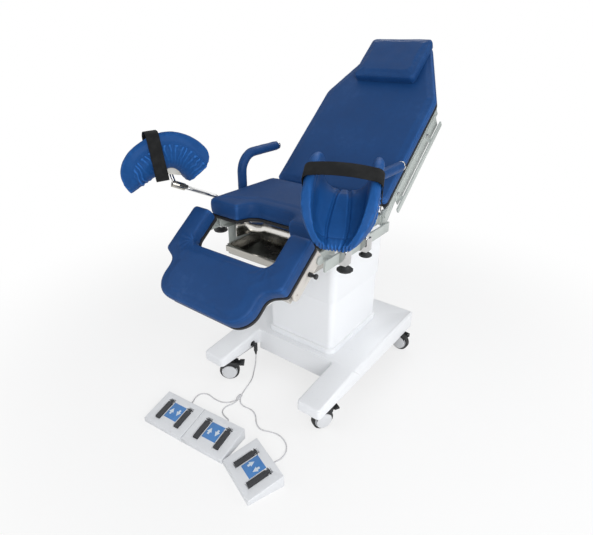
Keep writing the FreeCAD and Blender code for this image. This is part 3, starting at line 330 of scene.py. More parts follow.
black_plastic = moulded("black_plastic", rgb(0.018, 0.019, 0.021), rgb(0.038, 0.039, 0.042), 0.36)
hub_grey = moulded("hub_grey", rgb(0.52, 0.53, 0.55), rgb(0.42, 0.43, 0.45), 0.34)
cap_white = moulded("cap_white", rgb(0.70, 0.71, 0.73), rgb(0.62, 0.63, 0.65), 0.3, 0.08)
tyre_rubber = moulded("tyre_rubber", rgb(0.026, 0.026, 0.027), rgb(0.075, 0.072, 0.068), 0.62, 0.4)

wheel_radius = 0.05
on_edge = (math.radians(90), 0, 0)
bpy.ops.object.select_all(action="DESELECT")
bpy.ops.mesh.primitive_cylinder_add(vertices=72, radius=wheel_radius, depth=0.028, rotation=on_edge)
tyre = bpy.context.object
bpy.ops.object.transform_apply(location=False, rotation=True, scale=True)
bpy.ops.object.mode_set(mode="EDIT")
bpy.ops.mesh.select_mode(type="FACE")
bpy.ops.mesh.select_all(action="DESELECT")
bpy.ops.object.mode_set(mode="OBJECT")
for face in tyre.data.polygons:
    face.select = abs(face.normal.y) > 0.9
bpy.ops.object.mode_set(mode="EDIT")
bpy.ops.mesh.inset(thickness=0.009)
bpy.ops.mesh.delete(type="FACE")
bpy.ops.mesh.select_mode(type="EDGE")
bpy.ops.mesh.select_all(action="DESELECT")
bpy.ops.mesh.select_non_manifold()
bpy.ops.mesh.bridge_edge_loops()
bpy.ops.mesh.select_all(action="SELECT")
bpy.ops.mesh.normals_make_consistent(inside=False)
bpy.ops.object.mode_set(mode="OBJECT")
eased(tyre, 0.006, 4, 60)
coated(tyre, tyre_rubber)

bpy.ops.object.select_all(action="DESELECT")
bpy.ops.mesh.primitive_cylinder_add(vertices=72, radius=0.0409, depth=0.027, rotation=on_edge)
hub = bpy.context.object
bpy.ops.object.transform_apply(location=False, rotation=True, scale=True)
stepped(hub, ((0.004, -0.003), (0.012, -0.002), (0.009, 0.0), (0.0015, 0.0045), (0.004, 0.0)),
        lambda facing: abs(facing) > 0.9)
eased(hub, 0.0009, 2, 30)
coated(hub, hub_grey)

bpy.ops.object.select_all(action="DESELECT")
bpy.ops.mesh.primitive_cylinder_add(vertices=64, radius=0.037, depth=0.0042, rotation=on_edge)
cap = bpy.context.object
bpy.ops.object.transform_apply(location=False, rotation=True, scale=True)
stepped(cap, ((0.004, 0.0008), (0.016, 0.0006), (0.003, -0.0012), (0.003, 0.0)), lambda facing: facing < -0.9)
eased(cap, 0.0008, 2, 30)
coated(cap, cap_white)

castors = {"front_left": (-0.287, -0.487, 37.0), "front_right": (0.287, -0.487, 62.0),
           "rear_left": (-0.287, 0.3, 128.0), "rear_right": (0.287, 0.3, -5.0)}
trail = 0.038
cap_stand_off = 0.0223
for corner, (x, y, heading) in castors.items():
    spot = (Matrix.Translation((x, y, 0)) @ Matrix.Rotation(math.radians(heading), 4, "Z")
            @ Matrix.Translation((trail, 0, wheel_radius)))
    for form, part in ((tyre, "tyre"), (hub, "hub")):
        piece = stamped(form, part + "_" + corner, spot)
        fitted(piece, "castor_wheel_" + corner)
    for end, turn in (("near", 0.0), ("far", 180.0)):
        outward = Matrix.Rotation(math.radians(turn), 4, "Z") @ Matrix.Translation((0, -cap_stand_off, 0))
        piece = stamped(cap, f"axle_cap_{corner}_{end}", spot @ outward)
        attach(piece, "castor_" + corner)
    fork = "castor_fork_" + corner
    piece = eased(taken(fork, fork.replace("castor_", "")), 0.0012)
    fitted(coated(piece, black_plastic), fork)
for corner in ("front_left", "front_right"):
    brake = "castor_brake_" + corner
    piece = eased(taken(brake, brake.replace("castor_", "")), 0.0015)
    fitted(coated(piece, black_plastic), brake)
for form in (tyre, hub, cap):
    bpy.data.objects.remove(form)


# Base cover: one white glass-fibre moulding over the frame, a broad block with two rounded prongs in front.
# It drops over the beams and is held by screws from below; the column's plinth hides its opening. Its skin
# runs whole round the prongs' front corners, where the castors' swing space comes closest.
def cover_moulding(name):
    """White gel coat: smooth and a little wavy, greyer and scuffed towards the floor."""
    finish, place = start_finish(name, {"Coat Weight": 0.25, "Coat Roughness": 0.12})
    low = 1.0 - place.axes()[2].above(0.2, 0.3)
    cloud = place.clouds(4.0)
    scuff = place.stretched(1.0, 1.0, 2.5).clouds(46.0, 7.0, 0.7).above(0.63, 0.1) * low
    wave = place.clouds(16.0, 2.0)
    peel = place.clouds(420.0, 2.0)
    shade = (0.4 * cloud + 0.6 * scuff).above(0.5, 0.8)
    return feed(finish, Base_Color=shade.blend(rgb(0.87, 0.885, 0.91), rgb(0.78, 0.79, 0.81)),
                Roughness=0.3 + 0.12 * cloud + 0.15 * scuff,
                Normal=peel.bump(0.05, 0.0004, wave.bump(0.12, 0.002)))


white_moulding = cover_moulding("white_moulding")
prong_end = -0.5
pocket_roof = (0.166, 0.1695)
wall_foot = 0.1274
plinth_half_x, plinth_half_y = 0.205, 0.235
base_cover = taken("base_cover", "base_shell")
activate(base_cover)
bpy.ops.object.mode_set(mode="EDIT")
bpy.ops.mesh.select_mode(type="EDGE")
bpy.ops.mesh.select_all(action="DESELECT")
bpy.ops.object.mode_set(mode="OBJECT")


def notch_tops():
    """Points of the prongs' end walls where a castor's swing space breaks through a corner."""
    tops = set()
    for face in base_cover.data.polygons:
        if face.normal.y < -0.3 and face.center.y < prong_end:
            tops.update(i for i in face.vertices
                        if pocket_roof[0] < base_cover.data.vertices[i].co.z < pocket_roof[1])
    return tops


tops = notch_tops()
for edge in base_cover.data.edges:
    one, other = (base_cover.data.vertices[i].co for i in edge.vertices)
    shared = len(tops.intersection(edge.vertices))
    jamb = (one - other).to_2d().length < 0.0004 and min(one.z, other.z) < wall_foot + 0.0011
    edge.select = shared == 2 or (shared == 1 and jamb)
bpy.ops.object.mode_set(mode="EDIT")
bpy.ops.mesh.edge_split(type="EDGE")
bpy.ops.mesh.select_all(action="DESELECT")
bpy.ops.object.mode_set(mode="OBJECT")
for i in notch_tops():
    base_cover.data.vertices[i].co.z = wall_foot
beside = {}
for face in base_cover.data.polygons:
    for key in face.edge_keys:
        beside.setdefault(key, []).append(face.normal.z)
for edge in base_cover.data.edges:
    heights = beside[tuple(sorted(edge.vertices))]
    ends = [base_cover.data.vertices[i].co for i in edge.vertices]
    outside = max(max(abs(end.x) / plinth_half_x, abs(end.y) / plinth_half_y) for end in ends) > 1.0
    edge.select = outside and max(heights) > 0.6 and min(abs(h) for h in heights) < 0.3
bpy.ops.object.mode_set(mode="EDIT")
bpy.ops.mesh.bevel(offset=0.011, segments=4, profile=0.5, affect="EDGES", clamp_overlap=False)
bpy.ops.object.mode_set(mode="OBJECT")
bpy.ops.object.shade_smooth_by_angle(angle=math.radians(40))
fitted(coated(base_cover, white_moulding), "base_cover")


# Column covers: two square white shells, the upper one sliding down over the lower as the chair sinks.
# The lower one stands on a low plinth; both are folded sheet, welded at the back and sprayed white.
for node, name in (("column_cover", "column_shell"), ("upper_column_cover", "column_skirt")):
    fitted(coated(eased(taken(node, name), 0.0018, 3), white_moulding), node)


# Foot control plug: a black socket in the base's inner side, and a right-angle plug with a tapered strain
# relief. Three grey cables hang from it: one runs to the first pedal case, and two branch off it on the floor.
def cable_sheath(name, colour, dusty):
    """Matt extruded PVC, with a faint ripple and floor dust on it."""
    finish, place = start_finish(name, {"Specular IOR Level": 0.4})
    dust = place.clouds(55.0, 5.0, 0.6)
    return feed(finish, Base_Color=dust.above(0.55, 0.4).blend(colour, dusty), Roughness=0.42 + 0.2 * dust,
                Normal=place.clouds(700.0, 2.0).bump(0.12, 0.0004))


cable_grey = cable_sheath("cable_grey", rgb(0.70, 0.70, 0.72), rgb(0.58, 0.57, 0.57))
for node, name, ease in (("pedal_socket", "socket", 0.0008), ("pedal_plug", "plug", 0.0012)):
    fitted(coated(eased(taken(node, name), ease), black_plastic), node)

cable_diameter = 0.0065
low = 0.0034
routes = {
    "cable_1": [(-0.206, -0.320, 0.084), (-0.206, -0.321, 0.062), (-0.203, -0.328, 0.034), (-0.196, -0.345, 0.012),
                (-0.183, -0.368, low), (-0.160, -0.402, low), (-0.143, -0.445, low), (-0.130, -0.498, low),
                (-0.111, -0.548, low), (-0.122, -0.596, low), (-0.158, -0.624, low), (-0.205, -0.629, low),
                (-0.250, -0.622, low), (-0.284, -0.640, low), (-0.286, -0.678, low), (-0.267, -0.708, 0.0055),
                (-0.2585, -0.7407, 0.010)],
    "cable_2": [(-0.112, -0.552, low), (-0.104, -0.592, low), (-0.126, -0.628, low), (-0.116, -0.668, low),
                (-0.078, -0.682, low), (-0.047, -0.684, 0.006), (-0.0346, -0.7184, 0.010)],
    "cable_3": [(-0.118, -0.532, low), (-0.094, -0.572, low), (-0.053, -0.580, low), (-0.009, -0.572, low),
                (0.029, -0.590, low), (0.060, -0.624, low), (0.099, -0.642, low), (0.139, -0.626, low),
                (0.184, -0.612, low), (0.235, -0.626, low), (0.268, -0.661, low), (0.275, -0.703, low),
                (0.267, -0.733, 0.0065), (0.2603, -0.7516, 0.010)],
}
cables = {}
for name, points in routes.items():
    line = bpy.data.curves.new(name, "CURVE")
    line.dimensions = "3D"
    line.bevel_depth = cable_diameter / 2
    line.bevel_resolution = 5
    line.resolution_u = 12
    line.use_fill_caps = True
    run = line.splines.new("NURBS")
    run.points.add(len(points) - 1)
    for point, place in zip(run.points, points):
        point.co = (*place, 1.0)
    run.order_u = 3
    run.use_endpoint_u = True
    line.materials.append(cable_grey)
    cables[name] = bpy.data.objects.new(name, line)
    scene.collection.objects.link(cables[name])
    fitted(cables[name], "pedal_" + name)

bpy.ops.object.select_all(action="DESELECT")
bpy.ops.mesh.primitive_cube_add(size=1.0)
splitter = bpy.context.object
splitter.name = "cable_splitter"
splitter.data.transform(Matrix.Diagonal((0.016, 0.034, 0.0095, 1.0)))
for point in splitter.data.vertices:
    if point.co.y < 0:
        point.co.x *= 1.35
splitter.data.transform(Matrix.Translation((-0.1165, -0.545, 0.0049))
                        @ Matrix.Rotation(math.radians(12), 4, "Z"))
eased(splitter, 0.0032, 4)
coated(splitter, cable_grey)
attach(splitter, "base")


# Pedal cases: three wedge-shaped boxes of folded light-grey sheet, each with two black ribbed bars that tip
# on a pin, and a blue film square between them with plain arrows for up and down.
case_grey = moulded("case_grey", rgb(0.76, 0.775, 0.80), rgb(0.67, 0.68, 0.71), 0.3, 0.1)
bar_rubber = moulded("bar_rubber", rgb(0.045, 0.047, 0.052), rgb(0.075, 0.077, 0.083), 0.5, 0.3)
blue_film = moulded("blue_film", rgb(0.07, 0.22, 0.52), rgb(0.10, 0.27, 0.58), 0.22, 0.06)
pale_print = moulded("pale_print", rgb(0.62, 0.70, 0.78), rgb(0.55, 0.63, 0.72), 0.3, 0.06)
pedal_places = [(-0.243, -0.908, 5.3), (-0.017, -0.8855, 6.0), (0.2015, -0.909, -20.5)]
case_front, case_back, case_run = 0.024, 0.058, 0.160
slope = math.atan2(case_back - case_front, case_run)
film_middle = 0.087
arrow_aside = 0.018

bpy.ops.object.select_all(action="DESELECT")
bpy.ops.mesh.primitive_cube_add(size=1.0)
film = bpy.context.object
film.data.transform(Matrix.Translation((0, film_middle, 0.0003)) @ Matrix.Diagonal((0.072, 0.078, 0.0014, 1.0)))
eased(film, 0.0004, 2)
coated(film, blue_film)
bpy.ops.object.select_all(action="DESELECT")
bpy.ops.mesh.primitive_cylinder_add(vertices=3, radius=0.014, depth=0.0008)
arrow = bpy.context.object
bpy.ops.object.mode_set(mode="EDIT")
bpy.ops.mesh.select_all(action="DESELECT")
bpy.ops.object.mode_set(mode="OBJECT")
for face in arrow.data.polygons:
    face.select = face.normal.y < -0.9
bpy.ops.object.mode_set(mode="EDIT")
bpy.ops.mesh.inset(thickness=0.0003)
bpy.ops.transform.resize(value=(0.42, 1.0, 1.0))
bpy.ops.mesh.extrude_region_move(TRANSFORM_OT_translate={"value": (0.0, -0.011, 0.0)})
bpy.ops.object.mode_set(mode="OBJECT")
for index, (x, y, heading) in enumerate(pedal_places, 1):
    on_case = (Matrix.Translation((x, y, case_front)) @ Matrix.Rotation(math.radians(heading), 4, "Z")
               @ Matrix.Rotation(slope, 4, "X"))
    case = f"pedal_case_{index}"
    fitted(coated(eased(taken(case, f"case_{index}"), 0.0008), case_grey), case)
    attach(stamped(film, f"film_{index}", on_case), "base")
    for way, aside, turn in (("up", -arrow_aside, 0.0), ("down", arrow_aside, 180.0)):
        spot = (on_case @ Matrix.Translation((aside, film_middle, 0.0012))
                @ Matrix.Rotation(math.radians(turn), 4, "Z"))
        piece = stamped(arrow, f"arrow_{way}_{index}", spot)
        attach(coated(piece, pale_print), "base")
    for side in "ab":
        bar = f"pedal_{index}{side}"
        fitted(coated(eased(taken(bar, f"bar_{index}{side}"), 0.0005), bar_rubber), bar)
bpy.data.objects.remove(film)
bpy.data.objects.remove(arrow)


# Seat frame: welded box tubes with hinge lugs, tray runners and a flat accessory bar along each side,
# sprayed a pale grey-green.
frame_green = painted_steel("frame_green", rgb(0.46, 0.495, 0.475), rgb(0.39, 0.42, 0.405), 0.32)
fitted(coated(eased(taken("seat_frame", "seat_rails"), 0.0009), frame_green), "seat_frame")


# Basin skirt and drain tray: polished stainless sheet. The skirt lines the cut-out under the seat board, and
# the tray hangs by its rims on the runners and pulls out towards the foot end.
skirt_polish = bright_metal("skirt_polish", rgb(0.80, 0.78, 0.74), 0.07, (0.4, 0.4, 0.05), 0.0)
for node, name, metal in (("basin_skirt", "skirt_band", skirt_polish), ("drain_tray", "tray", stainless)):
    fitted(coated(eased(taken(node, name), 0.0006), metal), node)


# Seat cushion: foam on a painted board under navy-blue artificial leather, with a rounded cut-out at the front.
# The cover is sewn from a top panel and a side band, pulled down over the board's edge and stapled.
def artificial_leather(name, colour, lit, tired, shine):
    """Coated cloth: pebble grain, soft creases, a satin shine rubbed in patches, and lighter convex edges, a
    painted highlight that also stands for rubbed wear.
    """
    finish, place = start_finish(name, {"Specular IOR Level": shine})
    broad = place.clouds(5.0, 4.0, 0.6)
    creases = place.clouds(34.0, 5.0, 0.62)
    pebbles = place.cells(760.0)
    pores = place.clouds(1500.0, 2.0)
    tone = (0.6 * broad + 0.4 * creases).above(0.5, 0.5)
    worn = broad.above(0.62, 0.25) * creases.above(0.55, 0.2)
    # Where a point stands proud, the skin is painted lighter: a painted highlight along convex edges, partly
    # rubbed wear.
    edge = place.node("Attribute", {"attribute_name": "proud"}, {}, "Fac")
    edge_highlight_and_wear = rgb(*(2.1 * value for value in tired[:3]))
    skin = (edge * (0.55 + 0.3 * creases)).blend(worn.blend(tone.blend(colour, lit), tired), edge_highlight_and_wear)
    grain = (0.8 * pebbles + 0.2 * pores).bump(0.2, 0.0005, creases.bump(0.16, 0.0022))
    return feed(finish, Base_Color=skin, Normal=grain,
                Roughness=0.39 + 0.16 * creases + 0.08 * pebbles - 0.08 * worn)


navy_leather = artificial_leather("navy_leather", rgb(0.0080, 0.050, 0.172), rgb(0.0105, 0.062, 0.208),
                                  rgb(0.016, 0.070, 0.218), 0.2)
board_black = moulded("board_black", rgb(0.012, 0.012, 0.014), rgb(0.03, 0.03, 0.033), 0.5)


def parted(node, names):
    """A node's separate solids as pieces, the one with the most faces first."""
    piece = taken(node, names[0])
    activate(piece)
    bpy.ops.object.mode_set(mode="EDIT")
    bpy.ops.mesh.select_all(action="SELECT")
    bpy.ops.mesh.separate(type="LOOSE")
    bpy.ops.object.mode_set(mode="OBJECT")
    found = sorted(bpy.context.selected_objects, key=lambda part: -len(part.data.vertices))
    for part, name in zip(found, names):
        part.name = name
    return found


def stuffed(pad, voxel, shrink, cap, held):
    """Remeshes a pad, swells it as stuffed cloth on firm foam, and smooths it. Points that are held stay put.

    The cover starts a little too small and is blown up; it then lifts off the foam by no more than the cap.
    """
    steps = 20
    activate(pad)
    remesh = pad.modifiers.new("skin", "REMESH")
    remesh.mode = "VOXEL"
    remesh.voxel_size = voxel
    bpy.ops.object.modifier_apply(modifier=remesh.name)
    rest = [point.co.copy() for point in pad.data.vertices]
    stay = [held(place) for place in rest]
    normals = [point.normal.copy() for point in pad.data.vertices]
    pins = pad.vertex_groups.new(name="held")
    pins.add([i for i, fixed in enumerate(stay) if fixed], 1.0, "REPLACE")
    for point, fixed, normal in zip(pad.data.vertices, stay, normals):
        if not fixed:
            point.co -= normal * shrink
    cloth = pad.modifiers.new("stuffing", "CLOTH")
    cloth.settings.quality = 4
    cloth.settings.mass = 0.4
    cloth.settings.tension_stiffness = 25.0
    cloth.settings.compression_stiffness = 25.0
    cloth.settings.bending_stiffness = 2.0
    cloth.settings.use_pressure = True
    cloth.settings.uniform_pressure_force = 4.0
    cloth.settings.effector_weights.gravity = 0.0
    cloth.settings.vertex_group_mass = "held"
    cloth.collision_settings.use_collision = False
    cloth.point_cache.frame_start = 1
    cloth.point_cache.frame_end = steps
    for step in range(1, steps + 1):
        scene.frame_set(step)
    activate(pad)
    bpy.ops.object.modifier_apply(modifier=cloth.name)
    scene.frame_set(1)
    for point, place, normal in zip(pad.data.vertices, rest, normals):
        point.co = place + normal * min(max((point.co - place).dot(normal), 0.0), cap)
    pad.vertex_groups.clear()
    smooth = pad.modifiers.new("smooth", "SMOOTH")
    smooth.factor = 0.5
    smooth.iterations = 3
    bpy.ops.object.modifier_apply(modifier=smooth.name)
    finer = pad.modifiers.new("finer", "SUBSURF")
    finer.levels = 1
    finer.render_levels = 1
    bpy.ops.object.modifier_apply(modifier=finer.name)
    bpy.ops.object.shade_smooth()
    return pad


def mark_edges(mesh):
    """Notes how far each point stands proud of the surface around it, where the leather is painted lighter as an
    edge highlight and as rubbed wear.
    """
    count = len(mesh.vertices)
    place = np.empty(3 * count)
    normal = np.empty(3 * count)
    ends = np.empty(2 * len(mesh.edges), dtype=np.int32)
    mesh.vertices.foreach_get("co", place)
    mesh.vertices.foreach_get("normal", normal)
    mesh.edges.foreach_get("vertices", ends)
    place = place.reshape(-1, 3)
    one, other = ends.reshape(-1, 2).T
    near = np.bincount(ends, minlength=count)
    around = place.copy()
    for step in range(14):
        total = [np.bincount(one, around[other, axis], count) + np.bincount(other, around[one, axis], count)
                 for axis in range(3)]
        around = 0.4 * around + 0.6 * (np.array(total) / near).T
    proud = ((place - around) * normal.reshape(-1, 3)).sum(axis=1)
    marks = mesh.attributes.new("proud", "FLOAT", "POINT")
    marks.data.foreach_set("value", np.clip((proud - 0.0005) / 0.0016, 0.0, 1.0))


def pressed(pad, depth):
    """Moves each point of a pad along its normal by what depth gives for its place and normal."""
    pad.data.update()
    moves = [(point.normal * depth(point.co, point.normal)) for point in pad.data.vertices]
    for point, move in zip(pad.data.vertices, moves):
        point.co += move
    pad.data.update()
    mark_edges(pad.data)


def welt(pad, name, place, normal, radius):
    """A sewn edge: thin piping round the pad where a plane cuts it."""
    bpy.ops.object.select_all(action="DESELECT")
    piping = bpy.data.objects.new(name, pad.data.copy())
    scene.collection.objects.link(piping)
    activate(piping)
    bpy.ops.object.mode_set(mode="EDIT")
    bpy.ops.mesh.select_all(action="SELECT")
    bpy.ops.mesh.bisect(plane_co=place, plane_no=normal, clear_inner=True, clear_outer=True)
    bpy.ops.mesh.select_all(action="SELECT")
    bpy.ops.mesh.remove_doubles(threshold=0.0009)
    bpy.ops.object.mode_set(mode="OBJECT")
    bpy.ops.object.convert(target="CURVE")
    piping.data.bevel_depth = radius
    piping.data.bevel_resolution = 2
    bpy.ops.object.convert(target="MESH")
    bpy.ops.object.shade_smooth()
    return coated(piping, navy_leather)


def ripple(place, size, seed):
    """A smooth random height between about -1 and 1."""
    return noise.noise(place / size + Vector((seed, 0.0, 0.0)))


def upholstered(body, skin, held, depth, seam, facing):
    """A body's cushion: foam swelled under its cover, a sewn edge round it, and the board below."""
    pad, board = parted(body + "_cushion", (body + "_pad", body + "_board"))
    stuffed(pad, *skin, held)
    pressed(pad, depth)
    fitted(coated(pad, navy_leather), body + "_cushion")
    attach(welt(pad, body + "_welt", seam, facing, 0.0011), body)
    eased(board, 0.001)
    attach(coated(board, board_black), body)


up = Vector((0, 0, 1))
upholstered("seat", skin=(0.006, 0.0025, 0.006), held=lambda place: place.z < 0.8925,
            depth=lambda place, normal: 0.0012 * ripple(place, 0.09, 3.0) * max(normal.z, 0.2),
            seam=(0, 0, 0.9475), facing=up)


# Backrest frame: box tubes and hinge arms in grey-green, with a rear shell between them. Along each side runs a
# flat accessory rail on standoffs, whose side plate is held by two plated hexagon bolts.
for node, name, ease in (("back_frame", "back_rails_and_shell", 0.0012),
                         ("back_rails", "back_side_rails", 0.0009)):
    fitted(coated(eased(taken(node, name), ease), frame_green), node)
lean = math.radians(40.6)
on_back = Matrix.Translation((0, -0.017, 0.944)) @ Matrix.Rotation(lean, 4, "X")
bolt_x, bolt_low = 0.305, -0.076
bpy.ops.object.select_all(action="DESELECT")
bpy.ops.mesh.primitive_cylinder_add(vertices=6, radius=0.0075, depth=0.006, location=(bolt_x, 0, 0),
                                    rotation=(0, math.radians(90), 0))
bolt = bpy.context.object
bpy.ops.object.transform_apply(location=True, rotation=True, scale=True)
for face in bolt.data.polygons:
    face.select = face.normal.x > 0.9
bpy.ops.object.mode_set(mode="EDIT")
bpy.ops.mesh.select_mode(type="FACE")
bpy.ops.mesh.inset(thickness=0.0016, depth=0.0012)
bpy.ops.mesh.inset(thickness=0.002, depth=-0.0005)
bpy.ops.object.mode_set(mode="OBJECT")
for side, mirror in (("left", -1.0), ("right", 1.0)):
    for order, along in enumerate((0.094, 0.427), 1):
        spot = on_back @ Matrix.Translation((0, along, bolt_low)) @ Matrix.Scale(mirror, 4, (1, 0, 0))
        piece = stamped(bolt, f"rail_bolt_{side}_{order}", spot)
        if mirror < 0:
            piece.data.flip_normals()
        eased(piece, 0.0006)
        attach(coated(piece, chrome), "back")
bpy.data.objects.remove(bolt)


# Back cushion and head pillow: foam on a board with its upper corners cut off at a slant, and a loose wedge of
# a pillow that slides along it. Both are covered in the seat's leather.
from_back = on_back.inverted()
back_up = on_back.to_3x3() @ up
upholstered("back", skin=(0.008, 0.002, 0.004), held=lambda place: (from_back @ place).z < -0.041,
            depth=lambda place, normal: 0.0014 * ripple(place, 0.11, 5.0) * max(normal.dot(back_up), 0.2),
            seam=on_back @ Vector((0, 0, -0.0095)), facing=back_up)

pillow = parted("head_pillow", ("pillow_pad",))[0]
stuffed(pillow, 0.005, 0.0015, 0.006, lambda place: (from_back @ place).z < 0.003)
pressed(pillow, lambda place, normal: 0.0013 * ripple(place, 0.06, 8.0))
fitted(coated(pillow, navy_leather), "head_pillow")
for name, height in (("pillow_welt_top", 0.0405), ("pillow_welt_foot", 0.0075)):
    piping = welt(pillow, name, on_back @ Vector((0, 0, height)), back_up, 0.0012)
    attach(piping, "pillow")


# Leg section: a tube frame with flat side bars that hang it on the seat's front pins, a U-shaped cushion on its
# board, and a spring pull knob on each bar that lets it be lifted off or reset.
bar_beige = painted_steel("bar_beige", rgb(0.60, 0.57, 0.53), rgb(0.52, 0.49, 0.455), 0.3)
fitted(coated(eased(taken("leg_frame", "leg_bars"), 0.0009), bar_beige), "leg_frame")
for side in ("left", "right"):
    knob = "leg_knob_" + side
    fitted(coated(eased(taken(knob, "pull_knob_" + side), 0.001), black_plastic), knob)
on_leg = Matrix.Translation((0, -0.553, 0.9535)) @ Matrix.Rotation(math.radians(38.2), 4, "X")
from_leg = on_leg.inverted()
leg_up = on_leg.to_3x3() @ up
opening_corner = Vector((0.190, -0.150))


def corner_folds(place, normal):
    """Pleats that fan out from the opening's two inner corners, on top of a soft ripple."""
    flat = from_leg @ place
    move = 0.0013 * ripple(place, 0.08, 11.0) * max(normal.dot(leg_up), 0.2)
    for side in (-1.0, 1.0):
        off = Vector((flat.x - side * opening_corner.x, flat.y - opening_corner.y))
        fold = math.sin(11.0 * math.atan2(off.y, off.x) + 1.5 * ripple(place, 0.03, 13.0))
        move += 0.0014 * fold * math.exp(-off.length / 0.045) * min(off.length / 0.02, 1.0)
    return move


upholstered("leg", skin=(0.006, 0.002, 0.006), held=lambda place: (from_leg @ place).z < -0.056,
            depth=corner_folds, seam=on_leg @ Vector((0, 0, -0.0115)), facing=leg_up)


# Rail clamps and their knobs: plated steel blocks hooked over the accessory bars, each with an upright socket
# and a black star knob below it that drives a clamp screw.
fitted(coated(eased(taken("rail_clamps", "clamp_blocks"), 0.0012), chrome), "rail_clamps")
for group in ("support_knob", "armrest_knob"):
    for side in ("left", "right"):
        knob = f"{group}_{side}"
        star = eased(taken(knob, f"star_{group[:-5]}_{side}"), 0.0024, 3)
        coated(star, black_plastic, chrome)
        low_corner, high_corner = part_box(knob)
        axis = (low_corner + high_corner) / 2
        for face in star.data.polygons:
            off = (face.center - axis).xy.length
            face.material_index = 1 if off < 0.0048 and face.center.z > low_corner.z + 0.02 else 0
        fitted(star, knob)


# Leg supports: a bent plated pole in each front clamp, a steel sleeve with a wing knob on its end, and a padded
# trough for the calf on a saddle. The cover has a smooth band along the rim and is gathered under it.
cream_enamel = painted_steel("cream_enamel", rgb(0.66, 0.64, 0.57), rgb(0.57, 0.55, 0.49), 0.36)
sleeve_steel = bright_metal("sleeve_steel", rgb(0.52, 0.50, 0.45), 0.2, (6.0, 6.0, 1.0), 0.08)
# The knee pads' leather is a brighter, bluer copy of the navy leather with less shine: painted light, standing for
# the saturated blue highlights on the pads.
painted_light_trough_leather = artificial_leather("painted_light_trough_leather", rgb(0.0085, 0.062, 0.215), rgb(0.011, 0.077, 0.262),
                                    rgb(0.016, 0.084, 0.270), 0.12)
pole_corner = Vector((0.335, -0.380, 0.930))


class Trough:
    """Where a knee pad stands, drawn on the right: its bend, its own axes, and its pole's end and direction."""

    bend_radius = 0.11
    rim_height = 0.180
    curve_start = 0.018
    curve_run = 0.150
    curve_drop = 0.100

    def __init__(self, heading, dip, roll, bend, pole_end):
        turned = Matrix.Rotation(math.radians(heading), 3, "Z") @ Matrix.Rotation(math.radians(dip), 3, "X")
        turned = turned @ Matrix.Rotation(math.radians(-roll), 3, "Y")
        self.wide = turned @ Vector((1, 0, 0))
        self.near = turned @ Vector((0, -1, 0))
        self.rise = turned @ Vector((0, 0, 1))
        self.bend = Vector(bend)
        self.pole_end = Vector(pole_end)
        self.pole_way = (self.pole_end - pole_corner).normalized()

    def spot(self, place):
        """A point as across, along from the bend, and height from the bend's axis, in metres."""
        off = place - self.bend
        across = off.dot(self.wide)
        along = -off.dot(self.near)
        height = off.dot(self.rise)
        if along <= 0.0:
            return across, along, height
        turn = min(max(math.atan2(along, height), 0.0), math.radians(80))
        past = along * math.cos(turn) - height * math.sin(turn)
        return across, self.bend_radius * turn + past, along * math.sin(turn) + height * math.cos(turn)

    def below_rim(self, along, height):
        """How far a place lies below the rim, which runs down in a long curve at the near end."""
        past = -along - self.curve_start
        rise = max(height - 0.080, 0.0)
        part = math.hypot(past / self.curve_run, rise / self.curve_drop)
        if past <= 0.0 or part < 0.01:
            return self.rim_height - height
        return (1.0 - part) * math.hypot(past, rise) / part


troughs = {"right": Trough(23.5, 38.0, -3.0, (0.4065, -0.5395, 1.0685), (0.3937, -0.4975, 0.9729)),
           "left": Trough(24.0, 29.1, -14.5, (0.4257, -0.556, 1.0425), (0.4085, -0.5271, 1.0032))}


def webbing(name):
    """Black woven polyester: a herringbone of fine ribs along and across the strap."""
    finish, place = start_finish(name, {"Specular IOR Level": 0.18})
    ribs = place.node("TexWave", {"wave_type": "BANDS", "bands_direction": "DIAGONAL"},
                      {"Vector": place, "Scale": 260.0, "Distortion": 1.2, "Detail": 2.0}, 1)
    fuzz = place.clouds(900.0, 3.0)
    faded = place.clouds(30.0, 4.0)
    black = faded.above(0.55, 0.4).blend(rgb(0.007, 0.0075, 0.008), rgb(0.014, 0.0145, 0.015))
    return feed(finish, Base_Color=black, Roughness=0.62 + 0.2 * fuzz,
                Normal=(0.7 * ribs + 0.3 * fuzz).bump(0.35, 0.0006))


black_webbing = webbing("black_webbing")


def bell(value, width):
    return math.exp(-(value / width) ** 2)


def trough_seams(trough, mirror):
    """Creases beside the floor panel, a sewn band along each rim, and gathers outside and at the near hem."""
    def depth(place, normal):
        flip = Vector((mirror, 1.0, 1.0))
        across, along, height = trough.spot(place * flip)
        side = abs(across)
        below = trough.below_rim(along, height)
        inside = (normal * flip).dot(trough.wide) * across < 0 or (side < 0.07 and height > 0.055)
        loose = ripple(place, 0.03, 17.0)
        move = 0.0009 * ripple(place, 0.035, 2.0)
        if inside:
            lane = min(max(0.024 - 0.085 * along, 0.015), 0.038)
            move -= 0.0068 * bell(side - lane, 0.0046)
            move -= 0.0026 * bell(below - 0.030, 0.0032) + 0.0009 * bell(below - 0.037, 0.002)
        else:
            move -= 0.0034 * bell(below - 0.046, 0.0040) + 0.0009 * bell(below - 0.039, 0.002)
            under = below - 0.046
            if under > 0 and height > 0.0:
                fold = math.sin(along / 0.0030 + 3.4 * loose) + 0.7 * ripple(place, 0.012, 23.0)
                move += 0.0034 * fold * math.exp(-under / 0.05) * min(under / 0.008, 1.0)
        hem = 0.168 + along
        if height < 0.085 and hem < 0.03:
            fold = math.sin(across / 0.0030 + 2.5 * loose) + 0.5 * ripple(place, 0.01, 29.0)
            move += 0.0020 * fold * math.exp(-hem / 0.012)
        return move
    return depth


def drawn_in(pad, trough, mirror):
    """Narrows the trough's near end, where the cover's hem is pulled together like a bow."""
    flip = Vector((mirror, 1.0, 1.0))
    for point in pad.data.vertices:
        across, along = trough.spot(point.co * flip)[:2]
        part = min(max((-along - 0.02) / 0.148, 0.0), 1.0)
        point.co -= trough.wide * flip * (across * 0.42 * part ** 3)
    pad.data.update()
    return pad


